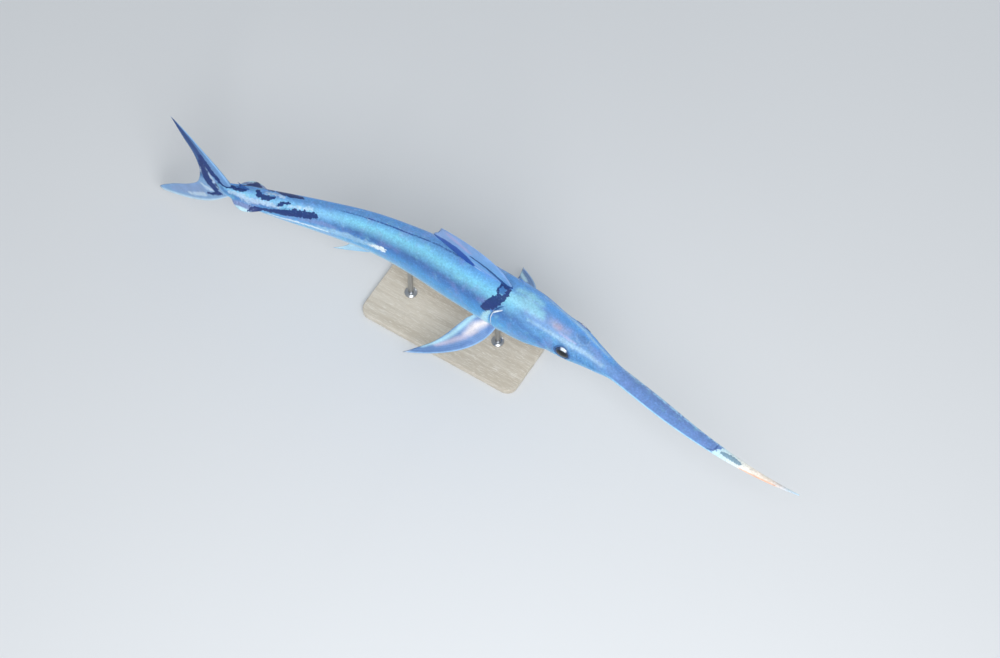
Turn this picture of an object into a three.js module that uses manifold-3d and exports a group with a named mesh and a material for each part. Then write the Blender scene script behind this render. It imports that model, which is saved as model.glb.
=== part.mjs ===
// A young swordfish, life size, held level on a plain stand.
// Millimetres. +X runs along the fish towards the bill, +Y to its left, +Z up.
// The origin is the middle of the stand's underside.
// A station is a place along the body, as a share of the fork length: 0 at the tip of the lower jaw,
// 1 at the fork of the tail, and less than 0 out along the bill.
import * as THREE from 'three';
import { mergeVertices } from 'three/addons/utils/BufferGeometryUtils.js';
import Module from 'manifold-3d';

const wasm = await Module();
wasm.setup();

// Driving dimensions
const FORK_LENGTH = 1100;
const AXIS_HEIGHT = 222;
const GAP = 0.3;
const CUT_GAP = 0.35;
const SIDES = 28;

// The side-to-side bend: the way the body's axis points at each station, in degrees to the left of +X
const BEND = [
  [-0.46, 5.8],
  [-0.29, -4.7],
  [-0.1, -10.5],
  [0.05, -9],
  [0.2, -1],
  [0.4, -1.8],
  [0.55, 4.3],
  [0.68, 13.6],
  [0.8, 14.8],
  [0.89, 11.7],
  [0.95, 4.8],
  [1, -4.9],
];

// The body's section at each station, as shares of the fork length: half its width, its rise above
// the axis, its drop below it, and how full it is (2 is an ellipse, less has a sharper side edge)
const BODY = [
  [-0.46, 0.0011, 0.001, 0.001, 1.8],
  [-0.397, 0.0054, 0.003, 0.003, 1.7],
  [-0.262, 0.0124, 0.0055, 0.0055, 1.6],
  [-0.091, 0.0186, 0.0088, 0.0088, 1.6],
  [-0.01, 0.018, 0.0128, 0.0118, 1.7],
  [0.05, 0.0262, 0.0235, 0.027, 1.9],
  [0.1, 0.0352, 0.035, 0.0405, 2.1],
  [0.15, 0.0398, 0.0465, 0.0515, 2.15],
  [0.22, 0.0487, 0.064, 0.068, 2.15],
  [0.3, 0.0495, 0.0735, 0.0755, 2.1],
  [0.4, 0.0468, 0.0735, 0.0745, 2.1],
  [0.55, 0.0375, 0.0605, 0.0625, 2.05],
  [0.68, 0.0306, 0.0492, 0.0508, 2],
  [0.81, 0.025, 0.0356, 0.0361, 2],
  [0.9, 0.0183, 0.0228, 0.0228, 2],
  [0.928, 0.0125, 0.0165, 0.0165, 2],
  [0.944, 0.0085, 0.0178, 0.0178, 2],
  [0.963, 0.0026, 0.0182, 0.0182, 2],
];

// Where the body is parted
const BILL_BASE = -0.012;
const TRUNK_PARTS = [0.42, 0.6, 0.78];
const TAIL_END = 0.963;

// The gill edge: where it crosses the back, the flank and the throat, how far along the body its curve
// is felt, how far the cover stands out over it and how far the shoulder is drawn in behind it
const GILL = {
  back: 0.215, flank: 0.286, throat: 0.23, curve: 1.2, fade: 0.1, flareStart: 0.15, flare: 2.2,
  tuckLength: 0.03, tuck: 0.9,
};
const GILL_COVER = {
  front: 0.152, back: 0.34, top: 0.036, bottom: -0.05, inner: 14, reach: 90, nose: 0.05,
};

// The mouth: its line along the head, seen from the side
const MOUTH = {
  tip: -0.02, tipHeight: -0.0108, fall: 0.03, corner: 0.138, cornerHeight: -0.0255, throat: 0.163,
};
const LIP = { front: 0.012, radius: 1.5, sink: 0.75 };
const JAW_SPACE = 0.08;

// The eye, its rim and the two nostrils in front of it
const EYE = {
  station: 0.115, lateral: 32, height: 3, length: 22, width: 14, depth: 21, rim: 2.8, rimSink: 2.2, yaw: 8,
};
const NOSTRIL_STRETCH = 1.4;
const NOSTRILS = [
  { station: 0.0755, height: 0.0122, radius: 3.1 },
  { station: 0.0835, height: 0.0136, radius: 2.4 },
];

// The keel on each side of the tail stock
const KEEL = {
  front: 0.8, rear: 0.923, widest: 0.645, lateral: 0.0385, root: 0.004, thickness: 17, sections: 18,
};

// Fins. Points are [back along the body from station 0, up or out from the axis] as shares of the
// fork length. Rays run from the root line to the edge, each with a bow towards the leading edge.
const RAY_RIDGE = 0.55;
const MEMBRANE_EDGE = 0.6;
const DORSAL_LEAN = 11;
const FINS = {
  dorsal_fin_first: {
    root: [[0.262, 0.064], [0.32, 0.067], [0.378, 0.066]],
    edge: [[0.42, 0.204], [0.433, 0.168], [0.448, 0.136], [0.42, 0.105], [0.387, 0.08]],
    bow: 0.5, rays: 14, rows: 7, thickness: 8,
  },
  dorsal_fin_second: {
    root: [[0.868, 0.021], [0.883, 0.018], [0.898, 0.015]],
    edge: [[0.905, 0.044], [0.899, 0.034], [0.901, 0.028], [0.912, 0.026]],
    bow: 0.08, rays: 5, rows: 3, thickness: 3,
  },
  anal_fin_first: {
    root: [[0.562, -0.055], [0.607, -0.052], [0.652, -0.047]],
    edge: [[0.7, -0.118], [0.673, -0.096], [0.66, -0.077], [0.66, -0.064], [0.669, -0.059]],
    bow: -0.12, rays: 10, rows: 5, thickness: 6,
  },
  anal_fin_second: {
    root: [[0.864, -0.022], [0.878, -0.019], [0.892, -0.016]],
    edge: [[0.9, -0.046], [0.894, -0.035], [0.896, -0.029], [0.906, -0.027]],
    bow: -0.08, rays: 5, rows: 3, thickness: 3,
  },
  caudal_fin_upper: {
    root: [[0.92, 0.0145], [0.937, 0.009], [0.945, 0.0003]],
    edge: [[1.062, 0.171], [1.037, 0.123], [1.011, 0.079], [0.999, 0.035], [1, 0.0003]],
    bow: 0.18, rays: 16, rows: 7, thickness: 11,
  },
  caudal_fin_lower: {
    root: [[0.92, -0.0145], [0.937, -0.009], [0.945, -0.0003]],
    edge: [
      [1.117, -0.1735], [1.125, -0.164], [1.086, -0.118], [1.04, -0.074], [1.01, -0.036], [1, -0.0003],
    ],
    bow: -0.145, rays: 16, rows: 7, thickness: 11,
  },
};
const PECTORAL = {
  station: 0.305, rootHeight: -0.046, rootLateral: 0.036, droop: 43,
  root: [[-0.027, 0], [0, 0], [0.027, 0]],
  edge: [[0.013, 0.196], [0.008, 0.161], [0.005, 0.127], [0.01, 0.091], [0.0185, 0.057], [0.027, 0.022]],
  bow: 0.4, rays: 13, rows: 8, thickness: 8,
};
const PECTORAL_SWEEP = { right: 39, left: 10 };

// The stand: a flat base with rounded corners and two rods up to the belly
const BASE = { station: 0.4, length: 420, width: 210, height: 16, corner: 26, bevel: 2.5 };
const ROD = {
  stations: [0.3, 0.52], radius: 6.5, collarRadius: 15, collarTop: 11.25, collarHeight: 6, collarEdge: 3.6,
  sink: 12,
};

// Interpolation

/** A smooth curve through rows sorted on their first column, with no overshoot between them. */
function through(rows, column) {
  const xs = rows.map((row) => row[0]);
  const ys = rows.map((row) => row[column]);
  const chords = xs.slice(1).map((x, i) => (ys[i + 1] - ys[i]) / (x - xs[i]));
  const slopes = xs.map((_, i) => {
    if (i === 0) return chords[0];
    if (i === xs.length - 1) return chords[i - 1];
    const [before, after] = [chords[i - 1], chords[i]];
    if (before * after <= 0) return 0;
    return (2 * before * after) / (before + after);
  });
  return (x) => {
    if (x <= xs[0]) return ys[0];
    if (x >= xs[xs.length - 1]) return ys[ys.length - 1];
    const i = xs.findIndex((limit) => limit > x) - 1;
    const span = xs[i + 1] - xs[i];
    const s = (x - xs[i]) / span;
    const a = (1 + 2 * s) * (1 - s) ** 2 * ys[i] + s * (1 - s) ** 2 * span * slopes[i];
    const b = s * s * (3 - 2 * s) * ys[i + 1] + s * s * (s - 1) * span * slopes[i + 1];
    return a + b;
  };
}

/** A point on the smooth curve through 2-D points, for a share of the way along it. */
function alongOutline(points, share) {
  const curve = new THREE.SplineCurve(points.map(([x, y]) => new THREE.Vector2(x, y)));
  return curve.getPoint(share);
}

const smoothstep = (low, high, x) => THREE.MathUtils.smoothstep(x, low, high);

// The body's axis

const heading = through(BEND, 1);
const AXIS_STEPS = 800;
const FIRST_STATION = BEND[0][0];

/** The axis as points a short step apart, from the bill's tip to the fork. */
const axisTable = (() => {
  const table = [new THREE.Vector2(0, 0)];
  const step = (1 - FIRST_STATION) / AXIS_STEPS;
  for (let i = 0; i < AXIS_STEPS; i += 1) {
    const angle = THREE.MathUtils.degToRad(heading(FIRST_STATION + (i + 0.5) * step));
    const back = new THREE.Vector2(Math.cos(angle), Math.sin(angle)).multiplyScalar(-step * FORK_LENGTH);
    table.push(table[i].clone().add(back));
  }
  return table;
})();

/** The axis and its directions at a station; past the fork it runs straight on. */
function axisAt(station) {
  const place = ((station - FIRST_STATION) / (1 - FIRST_STATION)) * AXIS_STEPS;
  const i = THREE.MathUtils.clamp(Math.floor(place), 0, AXIS_STEPS - 1);
  const flat = axisTable[i].clone().lerp(axisTable[i + 1], place - i);
  const angle = THREE.MathUtils.degToRad(heading(station));
  return {
    point: new THREE.Vector3(flat.x, flat.y, AXIS_HEIGHT),
    forward: new THREE.Vector3(Math.cos(angle), Math.sin(angle), 0),
    left: new THREE.Vector3(-Math.sin(angle), Math.cos(angle), 0),
  };
}

const baseCentre = axisAt(BASE.station).point;

/** A point beside the axis: its station, how far left of the axis it is, and how far above it. */
function beside(station, lateral, height) {
  const { point, left } = axisAt(station);
  return point
    .sub(new THREE.Vector3(baseCentre.x, baseCentre.y, 0))
    .addScaledVector(left, lateral)
    .add(new THREE.Vector3(0, 0, height));
}

// Solids

/** A manifold solid from a closed geometry, turned the right way out. */
function toSolid(geometry) {
  const bare = geometry.clone();
  bare.deleteAttribute('normal');
  bare.deleteAttribute('uv');
  const merged = mergeVertices(bare, 1e-4);
  const build = (triangles) => new wasm.Manifold(new wasm.Mesh({
    numProp: 3,
    vertProperties: Float32Array.from(merged.getAttribute('position').array),
    triVerts: Uint32Array.from(triangles),
  }));
  const index = Array.from(merged.getIndex().array);
  const solid = build(index);
  if (solid.volume() > 0) return solid;
  return build(index.reverse());
}

/** The geometry of a solid's largest closed piece. */
function toGeometry(solid) {
  const pieces = solid.simplify(0.01).decompose();
  const largest = pieces.reduce((a, b) => (b.volume() > a.volume() ? b : a));
  const { vertProperties, triVerts } = largest.getMesh();
  const geometry = new THREE.BufferGeometry();
  geometry.setAttribute('position', new THREE.BufferAttribute(Float32Array.from(vertProperties), 3));
  geometry.setIndex(new THREE.BufferAttribute(Uint32Array.from(triVerts), 1));
  geometry.computeVertexNormals();
  return geometry;
}

// Lofts along the body

const halfWidth = through(BODY, 1);
const rise = through(BODY, 2);
const drop = through(BODY, 3);
const fullness = through(BODY, 4);

const halfGap = GAP / 2 / FORK_LENGTH;
const gillMiddle = (GILL.back + GILL.flank) / 2;

/** The gill edge's station at an angle round the body: 0 is the left flank, 90 degrees the back. */
function gillEdge(angle) {
  const flankShare = Math.abs(Math.cos(angle)) ** GILL.curve;
  const end = Math.sin(angle) > 0 ? GILL.back : GILL.throat;
  return THREE.MathUtils.lerp(end, GILL.flank, flankShare);
}

/** Rings near the gill edge follow its curve, and less so the further they are from it. */
function bent(station, angle) {
  const fade = 1 - smoothstep(0, GILL.fade, Math.abs(station - gillMiddle));
  return station + (gillEdge(angle) - gillMiddle) * fade;
}

/** A point of the body's section, from the axis (radius 0) out to the surface (radius 1). */
function bodyPoint(station, angle, radius, grow) {
  const power = 2 / fullness(station);
  const across = Math.sign(Math.cos(angle)) * Math.abs(Math.cos(angle)) ** power;
  const upward = Math.sign(Math.sin(angle)) * Math.abs(Math.sin(angle)) ** power;
  const reach = Math.sin(angle) > 0 ? rise(station) : drop(station);
  return beside(
    station,
    radius * across * (halfWidth(station) * FORK_LENGTH + grow),
    radius * upward * (reach * FORK_LENGTH + grow),
  );
}

/**
 * A closed length of the body: a unit cylinder whose wall is carried out to the body's surface.
 * grow swells it, and flare(station, angle) lifts its surface locally.
 */
function bodyLoft({ from, to, rings, grow = 0, flare = () => 0 }) {
  const cylinder = new THREE.CylinderGeometry(1, 1, 1, SIDES, rings);
  const position = cylinder.getAttribute('position');
  for (let i = 0; i < position.count; i += 1) {
    const along = 0.5 - position.getY(i);
    const angle = Math.atan2(position.getZ(i), position.getX(i));
    const radius = Math.hypot(position.getX(i), position.getZ(i));
    const straight = THREE.MathUtils.lerp(from, to, along);
    const station = radius > 0.5 ? bent(straight, angle) : bent(straight, Math.PI / 4);
    const point = bodyPoint(station, angle, radius, grow + flare(station, angle));
    position.setXYZ(i, point.x, point.y, point.z);
  }
  return toSolid(cylinder);
}

/** The head's rear edge stands proud of the shoulder on both flanks. */
const headFlare = (station, angle) => (
  GILL.flare * Math.abs(Math.cos(angle)) * smoothstep(GILL.flareStart, GILL.flank, station)
);

/** The shoulder is drawn in a little where it starts under the gill edge. */
const shoulderTuck = (station, angle) => (
  -GILL.tuck * Math.abs(Math.cos(angle))
  * (1 - smoothstep(0, GILL.tuckLength, station - gillEdge(angle)))
);

const LENGTHS = {
  bill: { from: FIRST_STATION, to: BILL_BASE, rings: 13 },
  head: { from: BILL_BASE, to: gillMiddle, rings: 13, flare: headFlare },
  trunk_front: { from: gillMiddle, to: TRUNK_PARTS[0], rings: 9, flare: shoulderTuck },
  trunk_middle: { from: TRUNK_PARTS[0], to: TRUNK_PARTS[1], rings: 7 },
  trunk_rear: { from: TRUNK_PARTS[1], to: TRUNK_PARTS[2], rings: 7 },
  caudal_peduncle: { from: TRUNK_PARTS[2], to: TAIL_END, rings: 10 },
};

/** One named length of the body, short of its neighbours by half the gap at each end. */
function bodyLength(name, grow = 0) {
  const length = LENGTHS[name];
  return bodyLoft({
    ...length,
    from: length.from + (grow ? 0 : halfGap),
    to: length.to - (grow ? 0 : halfGap),
    grow,
  });
}

/** What a piece that grows from these lengths is cut by, so that it ends the gap away from them. */
const cutters = (names) => names.map((name) => bodyLength(name, CUT_GAP));

const cutBy = (solid, tools) => tools.reduce((rest, tool) => rest.subtract(tool), solid);

// The head

const MIRRORED = { left: 1, right: -1 };

/** How far out the body's surface is at a height over the axis, as a share of the fork length. */
function surfaceLateral(station, height) {
  const power = fullness(station);
  const reach = height > 0 ? rise(station) : drop(station);
  const share = Math.min(1, Math.abs(height) / reach);
  return halfWidth(station) * (1 - share ** power) ** (1 / power);
}

/** The mouth line's height over the axis at a station, as a share of the fork length. */
function mouthHeight(station) {
  const share = smoothstep(MOUTH.fall, MOUTH.corner, station);
  return THREE.MathUtils.lerp(MOUTH.tipHeight, MOUTH.cornerHeight, share);
}

/** An outline seen from the left side, pushed out sideways from one distance to another. */
function sidePrism(outline, near, far) {
  const middle = axisAt(EYE.station);
  const shape = new THREE.Shape(outline.map(([station, height]) => (
    new THREE.Vector2((EYE.station - station) * FORK_LENGTH, height * FORK_LENGTH)
  )));
  const geometry = new THREE.ExtrudeGeometry(shape, { depth: far - near, bevelEnabled: false });
  const toSide = new THREE.Matrix4().makeBasis(
    middle.forward, new THREE.Vector3(0, 0, 1), middle.left.clone().negate(),
  );
  const place = beside(EYE.station, far, 0);
  geometry.applyMatrix4(toSide.setPosition(place));
  return toSolid(geometry);
}

/** The space of the lower jaw: all that lies under the mouth line and before the throat. */
function jawSpace(margin) {
  const lift = margin / FORK_LENGTH;
  const steps = 8;
  const outline = [];
  for (let i = 0; i <= steps; i += 1) {
    const station = THREE.MathUtils.lerp(MOUTH.tip - lift, MOUTH.corner + lift, i / steps);
    outline.push([station, mouthHeight(station) + lift]);
  }
  outline.push([MOUTH.throat + lift, -JAW_SPACE], [MOUTH.tip - lift, -JAW_SPACE]);
  return sidePrism(outline, -FORK_LENGTH * JAW_SPACE, FORK_LENGTH * JAW_SPACE);
}

/** A lip along the mouth line on one side, a little above or below the line. */
function lip(side, offset) {
  const points = [];
  const steps = 7;
  for (let i = 0; i <= steps; i += 1) {
    const station = THREE.MathUtils.lerp(LIP.front, MOUTH.corner, i / steps);
    const height = mouthHeight(station) * FORK_LENGTH + offset;
    const lateral = surfaceLateral(station, height / FORK_LENGTH) * FORK_LENGTH;
    points.push(beside(station, side * (lateral - LIP.sink), height));
  }
  const section = new THREE.Shape();
  section.absarc(0, 0, LIP.radius, 0, Math.PI * 2);
  return toSolid(new THREE.ExtrudeGeometry(section, {
    steps: 2 * steps, curveSegments: 3, extrudePath: new THREE.CatmullRomCurve3(points),
  }));
}

/** A round piece in the eye's place, turned to face sideways and a little forward. */
function atEye(geometry, side, lateral) {
  const { forward, left } = axisAt(EYE.station);
  const turn = new THREE.Matrix4().makeBasis(forward, new THREE.Vector3(0, 0, 1), left.clone().negate());
  const place = beside(EYE.station, side * lateral, EYE.height);
  geometry.rotateY(THREE.MathUtils.degToRad(-side * EYE.yaw));
  return toSolid(geometry.applyMatrix4(turn.setPosition(place)));
}

/** The eyeball, swelled by a margin. */
function eyeball(side, margin = 0) {
  const ball = new THREE.SphereGeometry(1, 18, 10);
  ball.rotateX(Math.PI / 2);
  ball.scale(EYE.length + margin, EYE.depth + margin, EYE.width + margin);
  return atEye(ball, side, EYE.lateral);
}

/** The low rim of skin round the eye. */
function eyeRim(side) {
  const ring = new THREE.TorusGeometry(1, EYE.rim / EYE.length, 6, 22);
  ring.scale(EYE.length, EYE.depth, EYE.length);
  return atEye(ring, side, halfWidth(EYE.station) * FORK_LENGTH - EYE.rimSink);
}

/** A nostril's small pit. */
function nostril({ station, height, radius }, side) {
  const pit = new THREE.SphereGeometry(radius, 8, 6);
  pit.scale(NOSTRIL_STRETCH, 1, 1);
  const lateral = surfaceLateral(station, height) * FORK_LENGTH;
  const place = beside(station, side * lateral, height * FORK_LENGTH);
  pit.translate(place.x, place.y, place.z);
  return toSolid(pit);
}

/** The space of one gill cover: a rounded plate's outline, pushed out from near the axis. */
function coverSpace(side, margin) {
  const lift = margin / FORK_LENGTH;
  const { front, back, top, bottom, nose } = GILL_COVER;
  const middle = (top + bottom) / 2;
  const steps = 10;
  const outline = [[back, top + lift], [back, bottom - lift]];
  for (let i = 0; i <= steps; i += 1) {
    const angle = -Math.PI / 2 + (Math.PI * i) / steps;
    outline.push([
      front + nose - (nose + lift) * Math.cos(angle),
      middle + ((top - bottom) / 2 + lift) * Math.sin(angle),
    ]);
  }
  const near = GILL_COVER.inner - margin;
  if (side > 0) return sidePrism(outline, near, GILL_COVER.reach);
  return sidePrism(outline, -GILL_COVER.reach, -near);
}

/** The whole front of the body, from the bill's base to the gill edge, with rims and lips. */
function wholeHead() {
  const extras = Object.values(MIRRORED).flatMap((side) => [
    eyeRim(side),
    lip(side, LIP.radius),
    lip(side, -LIP.radius),
  ]);
  return extras.reduce((rest, extra) => rest.add(extra), bodyLength('head'));
}

const headBlock = wholeHead();

function head() {
  const tools = Object.values(MIRRORED).flatMap((side) => [
    eyeball(side, GAP),
    coverSpace(side, GAP),
    ...NOSTRILS.map((pit) => nostril(pit, side)),
  ]);
  return cutBy(headBlock, [jawSpace(GAP), ...tools]);
}

const lowerJaw = () => headBlock.intersect(jawSpace(0)).subtract(bodyLength('bill', GAP));

const gillCover = (side) => bodyLength('head').intersect(coverSpace(side, 0)).subtract(jawSpace(GAP));

// Fins

/** How a fin's thickness changes: round its leading edge, then thinner to the rear and to the margin. */
const FIN_TAPER = { front: 0.3, rounding: 7, toRear: 0.75, toMargin: 1.2, ridge: 0.7 };

/** How thick a fin is across its rays: thin at the leading edge, thickest close behind it. */
const finBlade = (u) => (
  Math.min(FIN_TAPER.front + FIN_TAPER.rounding * u, 1) * (1 - FIN_TAPER.toRear * u)
);

/** How thick the keel is along the body: round at both ends and fullest between them. */
const keelBlade = (u) => Math.sin(Math.PI * THREE.MathUtils.clamp(u, 0.05, 0.95)) ** 0.7;

/**
 * A fin as one closed sheet of rays. Ray 0 is the leading edge; each ray is a bowed line from the root
 * outline to the edge outline, and place(back, out) puts a 2-D point in space. Rays stand out from
 * the membrane between them by the ridge. Both faces are split into the same triangles.
 */
function finSheet(fin, place) {
  const { root, edge, bow, rays, rows, thickness, blade = finBlade, ridge = RAY_RIDGE } = fin;
  const columns = 2 * rays;
  const middle = [];
  for (let i = 0; i <= columns; i += 1) {
    const start = alongOutline(root, i / columns);
    const end = alongOutline(edge, i / columns);
    const chord = end.clone().sub(start);
    const control = start.clone().add(end).multiplyScalar(0.5)
      .add(new THREE.Vector2(-chord.y, chord.x).multiplyScalar(bow * (1 - i / columns)));
    const ray = new THREE.QuadraticBezierCurve(start, control, end);
    middle.push(Array.from({ length: rows + 1 }, (_, j) => {
      const flat = ray.getPoint(j / rows);
      return place(flat.x * FORK_LENGTH, flat.y * FORK_LENGTH);
    }));
  }
  const positions = [];
  const normalAt = (i, j) => {
    const across = middle[Math.min(i + 1, columns)][j].clone().sub(middle[Math.max(i - 1, 0)][j]);
    const along = middle[i][Math.min(j + 1, rows)].clone().sub(middle[i][Math.max(j - 1, 0)]);
    return across.cross(along).normalize();
  };
  for (const face of [1, -1]) {
    for (let i = 0; i <= columns; i += 1) {
      for (let j = 0; j <= rows; j += 1) {
        const [u, v] = [i / columns, j / rows];
        const body = (thickness / 2) * (1 - v) ** FIN_TAPER.toMargin * blade(u);
        const raised = i % 2 === 0 ? ridge * (1 - FIN_TAPER.ridge * v) : 0;
        const half = MEMBRANE_EDGE / 2 + body + raised;
        const point = middle[i][j].clone().addScaledVector(normalAt(i, j), face * half);
        positions.push(point.x, point.y, point.z);
      }
    }
  }
  const side = (columns + 1) * (rows + 1);
  const at = (i, j) => i * (rows + 1) + j;
  const index = [];
  for (let i = 0; i < columns; i += 1) {
    for (let j = 0; j < rows; j += 1) {
      const [a, b, c, d] = [at(i, j), at(i + 1, j), at(i + 1, j + 1), at(i, j + 1)];
      index.push(a, b, c, a, c, d);
      index.push(a + side, c + side, b + side, a + side, d + side, c + side);
    }
  }
  const wall = (p, q) => index.push(q, p, p + side, q, p + side, q + side);
  for (let i = 0; i < columns; i += 1) {
    wall(at(i, 0), at(i + 1, 0));
    wall(at(i + 1, rows), at(i, rows));
  }
  for (let j = 0; j < rows; j += 1) {
    wall(at(0, j + 1), at(0, j));
    wall(at(columns, j), at(columns, j + 1));
  }
  const geometry = new THREE.BufferGeometry();
  geometry.setAttribute('position', new THREE.Float32BufferAttribute(positions, 3));
  geometry.setIndex(index);
  return toSolid(geometry);
}

/** A fin in the body's own curved middle plane, leaning to the right with its height. */
function medianFin(name, neighbours, lean = 0) {
  const slope = Math.tan(THREE.MathUtils.degToRad(lean));
  const sheet = finSheet(FINS[name], (back, up) => {
    const station = back / FORK_LENGTH;
    const above = Math.max(0, up - rise(station) * FORK_LENGTH);
    return beside(station, -slope * above, up);
  });
  return cutBy(sheet, cutters(neighbours));
}

/** A pectoral fin: rooted low on the flank, held out, down and swept back. */
function pectoralFin(side, sweep) {
  const { station, rootHeight, rootLateral, droop } = PECTORAL;
  const turn = THREE.MathUtils.degToRad(sweep);
  const tilt = THREE.MathUtils.degToRad(droop);
  const sheet = finSheet(PECTORAL, (back, out) => {
    const slid = back + out * Math.sin(turn);
    const reach = out * Math.cos(turn);
    const lateral = rootLateral * FORK_LENGTH + reach * Math.cos(tilt);
    const height = rootHeight * FORK_LENGTH - reach * Math.sin(tilt);
    return beside(station, side * lateral, height)
      .addScaledVector(axisAt(station).forward, -slid);
  });
  return cutBy(sheet, cutters(['head', 'trunk_front']));
}

/** The keel on one side of the tail stock: a long leaf that thins to its edge. */
function keel(side) {
  const leaf = {
    root: [[KEEL.front, KEEL.root], [KEEL.rear, KEEL.root]],
    edge: Array.from({ length: KEEL.sections + 1 }, (_, i) => {
      const share = i / KEEL.sections;
      const skew = share ** (Math.log(0.5) / Math.log(KEEL.widest));
      const reach = Math.sin(Math.PI * skew) ** 0.8;
      return [
        THREE.MathUtils.lerp(KEEL.front, KEEL.rear, share),
        THREE.MathUtils.lerp(KEEL.root + 0.001, KEEL.lateral, reach),
      ];
    }),
  };
  const sheet = finSheet(
    {
      ...leaf,
      bow: 0,
      rays: KEEL.sections / 2,
      rows: 4,
      thickness: KEEL.thickness,
      blade: keelBlade,
      ridge: 0,
    },
    (back, out) => beside(back / FORK_LENGTH, side * out, 0),
  );
  return cutBy(sheet, cutters(['caudal_peduncle']));
}

// The stand

function standBase() {
  const { length, width, corner, bevel, height } = BASE;
  const [x, y] = [length / 2 - bevel, width / 2 - bevel];
  const shape = new THREE.Shape();
  shape.absarc(x - corner, y - corner, corner, 0, Math.PI / 2);
  shape.absarc(corner - x, y - corner, corner, Math.PI / 2, Math.PI);
  shape.absarc(corner - x, corner - y, corner, Math.PI, 1.5 * Math.PI);
  shape.absarc(x - corner, corner - y, corner, 1.5 * Math.PI, 2 * Math.PI);
  const geometry = new THREE.ExtrudeGeometry(shape, {
    depth: height - 2 * bevel, bevelThickness: bevel, bevelSize: bevel, bevelSegments: 2, curveSegments: 6,
  });
  geometry.translate(0, 0, bevel);
  return toSolid(geometry);
}

/** A rod on a round collar, with its top end shaped by the belly that it carries. */
function standRod(station) {
  const foot = beside(station, 0, -AXIS_HEIGHT);
  const bottom = BASE.height + GAP;
  const top = AXIS_HEIGHT - drop(station) * FORK_LENGTH + ROD.sink;
  const profile = [
    [0, bottom], [ROD.collarRadius, bottom], [ROD.collarRadius, bottom + ROD.collarEdge],
    [ROD.collarTop, bottom + ROD.collarHeight], [ROD.radius, bottom + ROD.collarHeight],
    [ROD.radius, top], [0, top],
  ];
  const geometry = new THREE.LatheGeometry(profile.map(([x, y]) => new THREE.Vector2(x, y)), 20);
  geometry.rotateX(Math.PI / 2);
  geometry.translate(foot.x, foot.y, 0);
  return cutBy(toSolid(geometry), cutters(['trunk_front', 'trunk_middle']));
}

// The finished part

const FINISHES = {
  skin: { color: 0x7bbbe4, roughness: 0.35, metalness: 0 },
  bill: { color: 0x6284c2, roughness: 0.4, metalness: 0 },
  fin: { color: 0x6f9fd6, roughness: 0.45, metalness: 0 },
  eye: { color: 0x10161f, roughness: 0.08, metalness: 0 },
  limedOak: { color: 0xd8d2c6, roughness: 0.5, metalness: 0 },
  brushedSteel: { color: 0xb9bcc0, roughness: 0.3, metalness: 1 },
};

const PIECES = [
  ['bill', 'bill', () => bodyLength('bill')],
  ['head', 'skin', head],
  ['lower_jaw', 'skin', lowerJaw],
  ['gill_cover_left', 'skin', () => gillCover(MIRRORED.left)],
  ['gill_cover_right', 'skin', () => gillCover(MIRRORED.right)],
  ['eye_left', 'eye', () => eyeball(MIRRORED.left)],
  ['eye_right', 'eye', () => eyeball(MIRRORED.right)],
  ['trunk_front', 'skin', () => bodyLength('trunk_front')],
  ['trunk_middle', 'skin', () => bodyLength('trunk_middle')],
  ['trunk_rear', 'skin', () => bodyLength('trunk_rear')],
  ['caudal_peduncle', 'skin', () => bodyLength('caudal_peduncle')],
  ['keel_left', 'skin', () => keel(MIRRORED.left)],
  ['keel_right', 'skin', () => keel(MIRRORED.right)],
  ['dorsal_fin_first', 'fin', () => medianFin('dorsal_fin_first', ['trunk_front', 'head'], DORSAL_LEAN)],
  ['dorsal_fin_second', 'fin', () => medianFin('dorsal_fin_second', ['caudal_peduncle'])],
  ['anal_fin_first', 'fin', () => medianFin('anal_fin_first', ['trunk_middle', 'trunk_rear'])],
  ['anal_fin_second', 'fin', () => medianFin('anal_fin_second', ['caudal_peduncle'])],
  ['pectoral_fin_left', 'fin', () => pectoralFin(MIRRORED.left, PECTORAL_SWEEP.left)],
  ['pectoral_fin_right', 'fin', () => pectoralFin(MIRRORED.right, PECTORAL_SWEEP.right)],
  ['caudal_fin_upper', 'fin', () => medianFin('caudal_fin_upper', ['caudal_peduncle'])],
  ['caudal_fin_lower', 'fin', () => medianFin('caudal_fin_lower', ['caudal_peduncle'])],
  ['stand_base', 'limedOak', standBase],
  ['stand_rod_front', 'brushedSteel', () => standRod(ROD.stations[0])],
  ['stand_rod_rear', 'brushedSteel', () => standRod(ROD.stations[1])],
];

const swordfish = new THREE.Group();
for (const [name, finish, make] of PIECES) {
  const material = new THREE.MeshStandardMaterial(FINISHES[finish]);
  const mesh = new THREE.Mesh(toGeometry(make()), material);
  mesh.name = name;
  swordfish.add(mesh);
}

export default swordfish;
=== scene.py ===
"""A young swordfish on a display stand: its finished surfaces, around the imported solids.

Metres. +X runs along the fish towards the bill, +Y to its left, +Z up. A station is a place along the
body as a share of the fork length: 0 at the tip of the lower jaw, 1 at the fork of the tail, and less
than 0 on the bill. An angle round the body is 0 on the back, positive down the right flank, in degrees.
"""

import logging
import math
from dataclasses import dataclass
from enum import Enum
from functools import partial
from typing import Any, Callable, Sequence

import bmesh
import bpy
import numpy as np
from mathutils import Matrix, Vector


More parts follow.
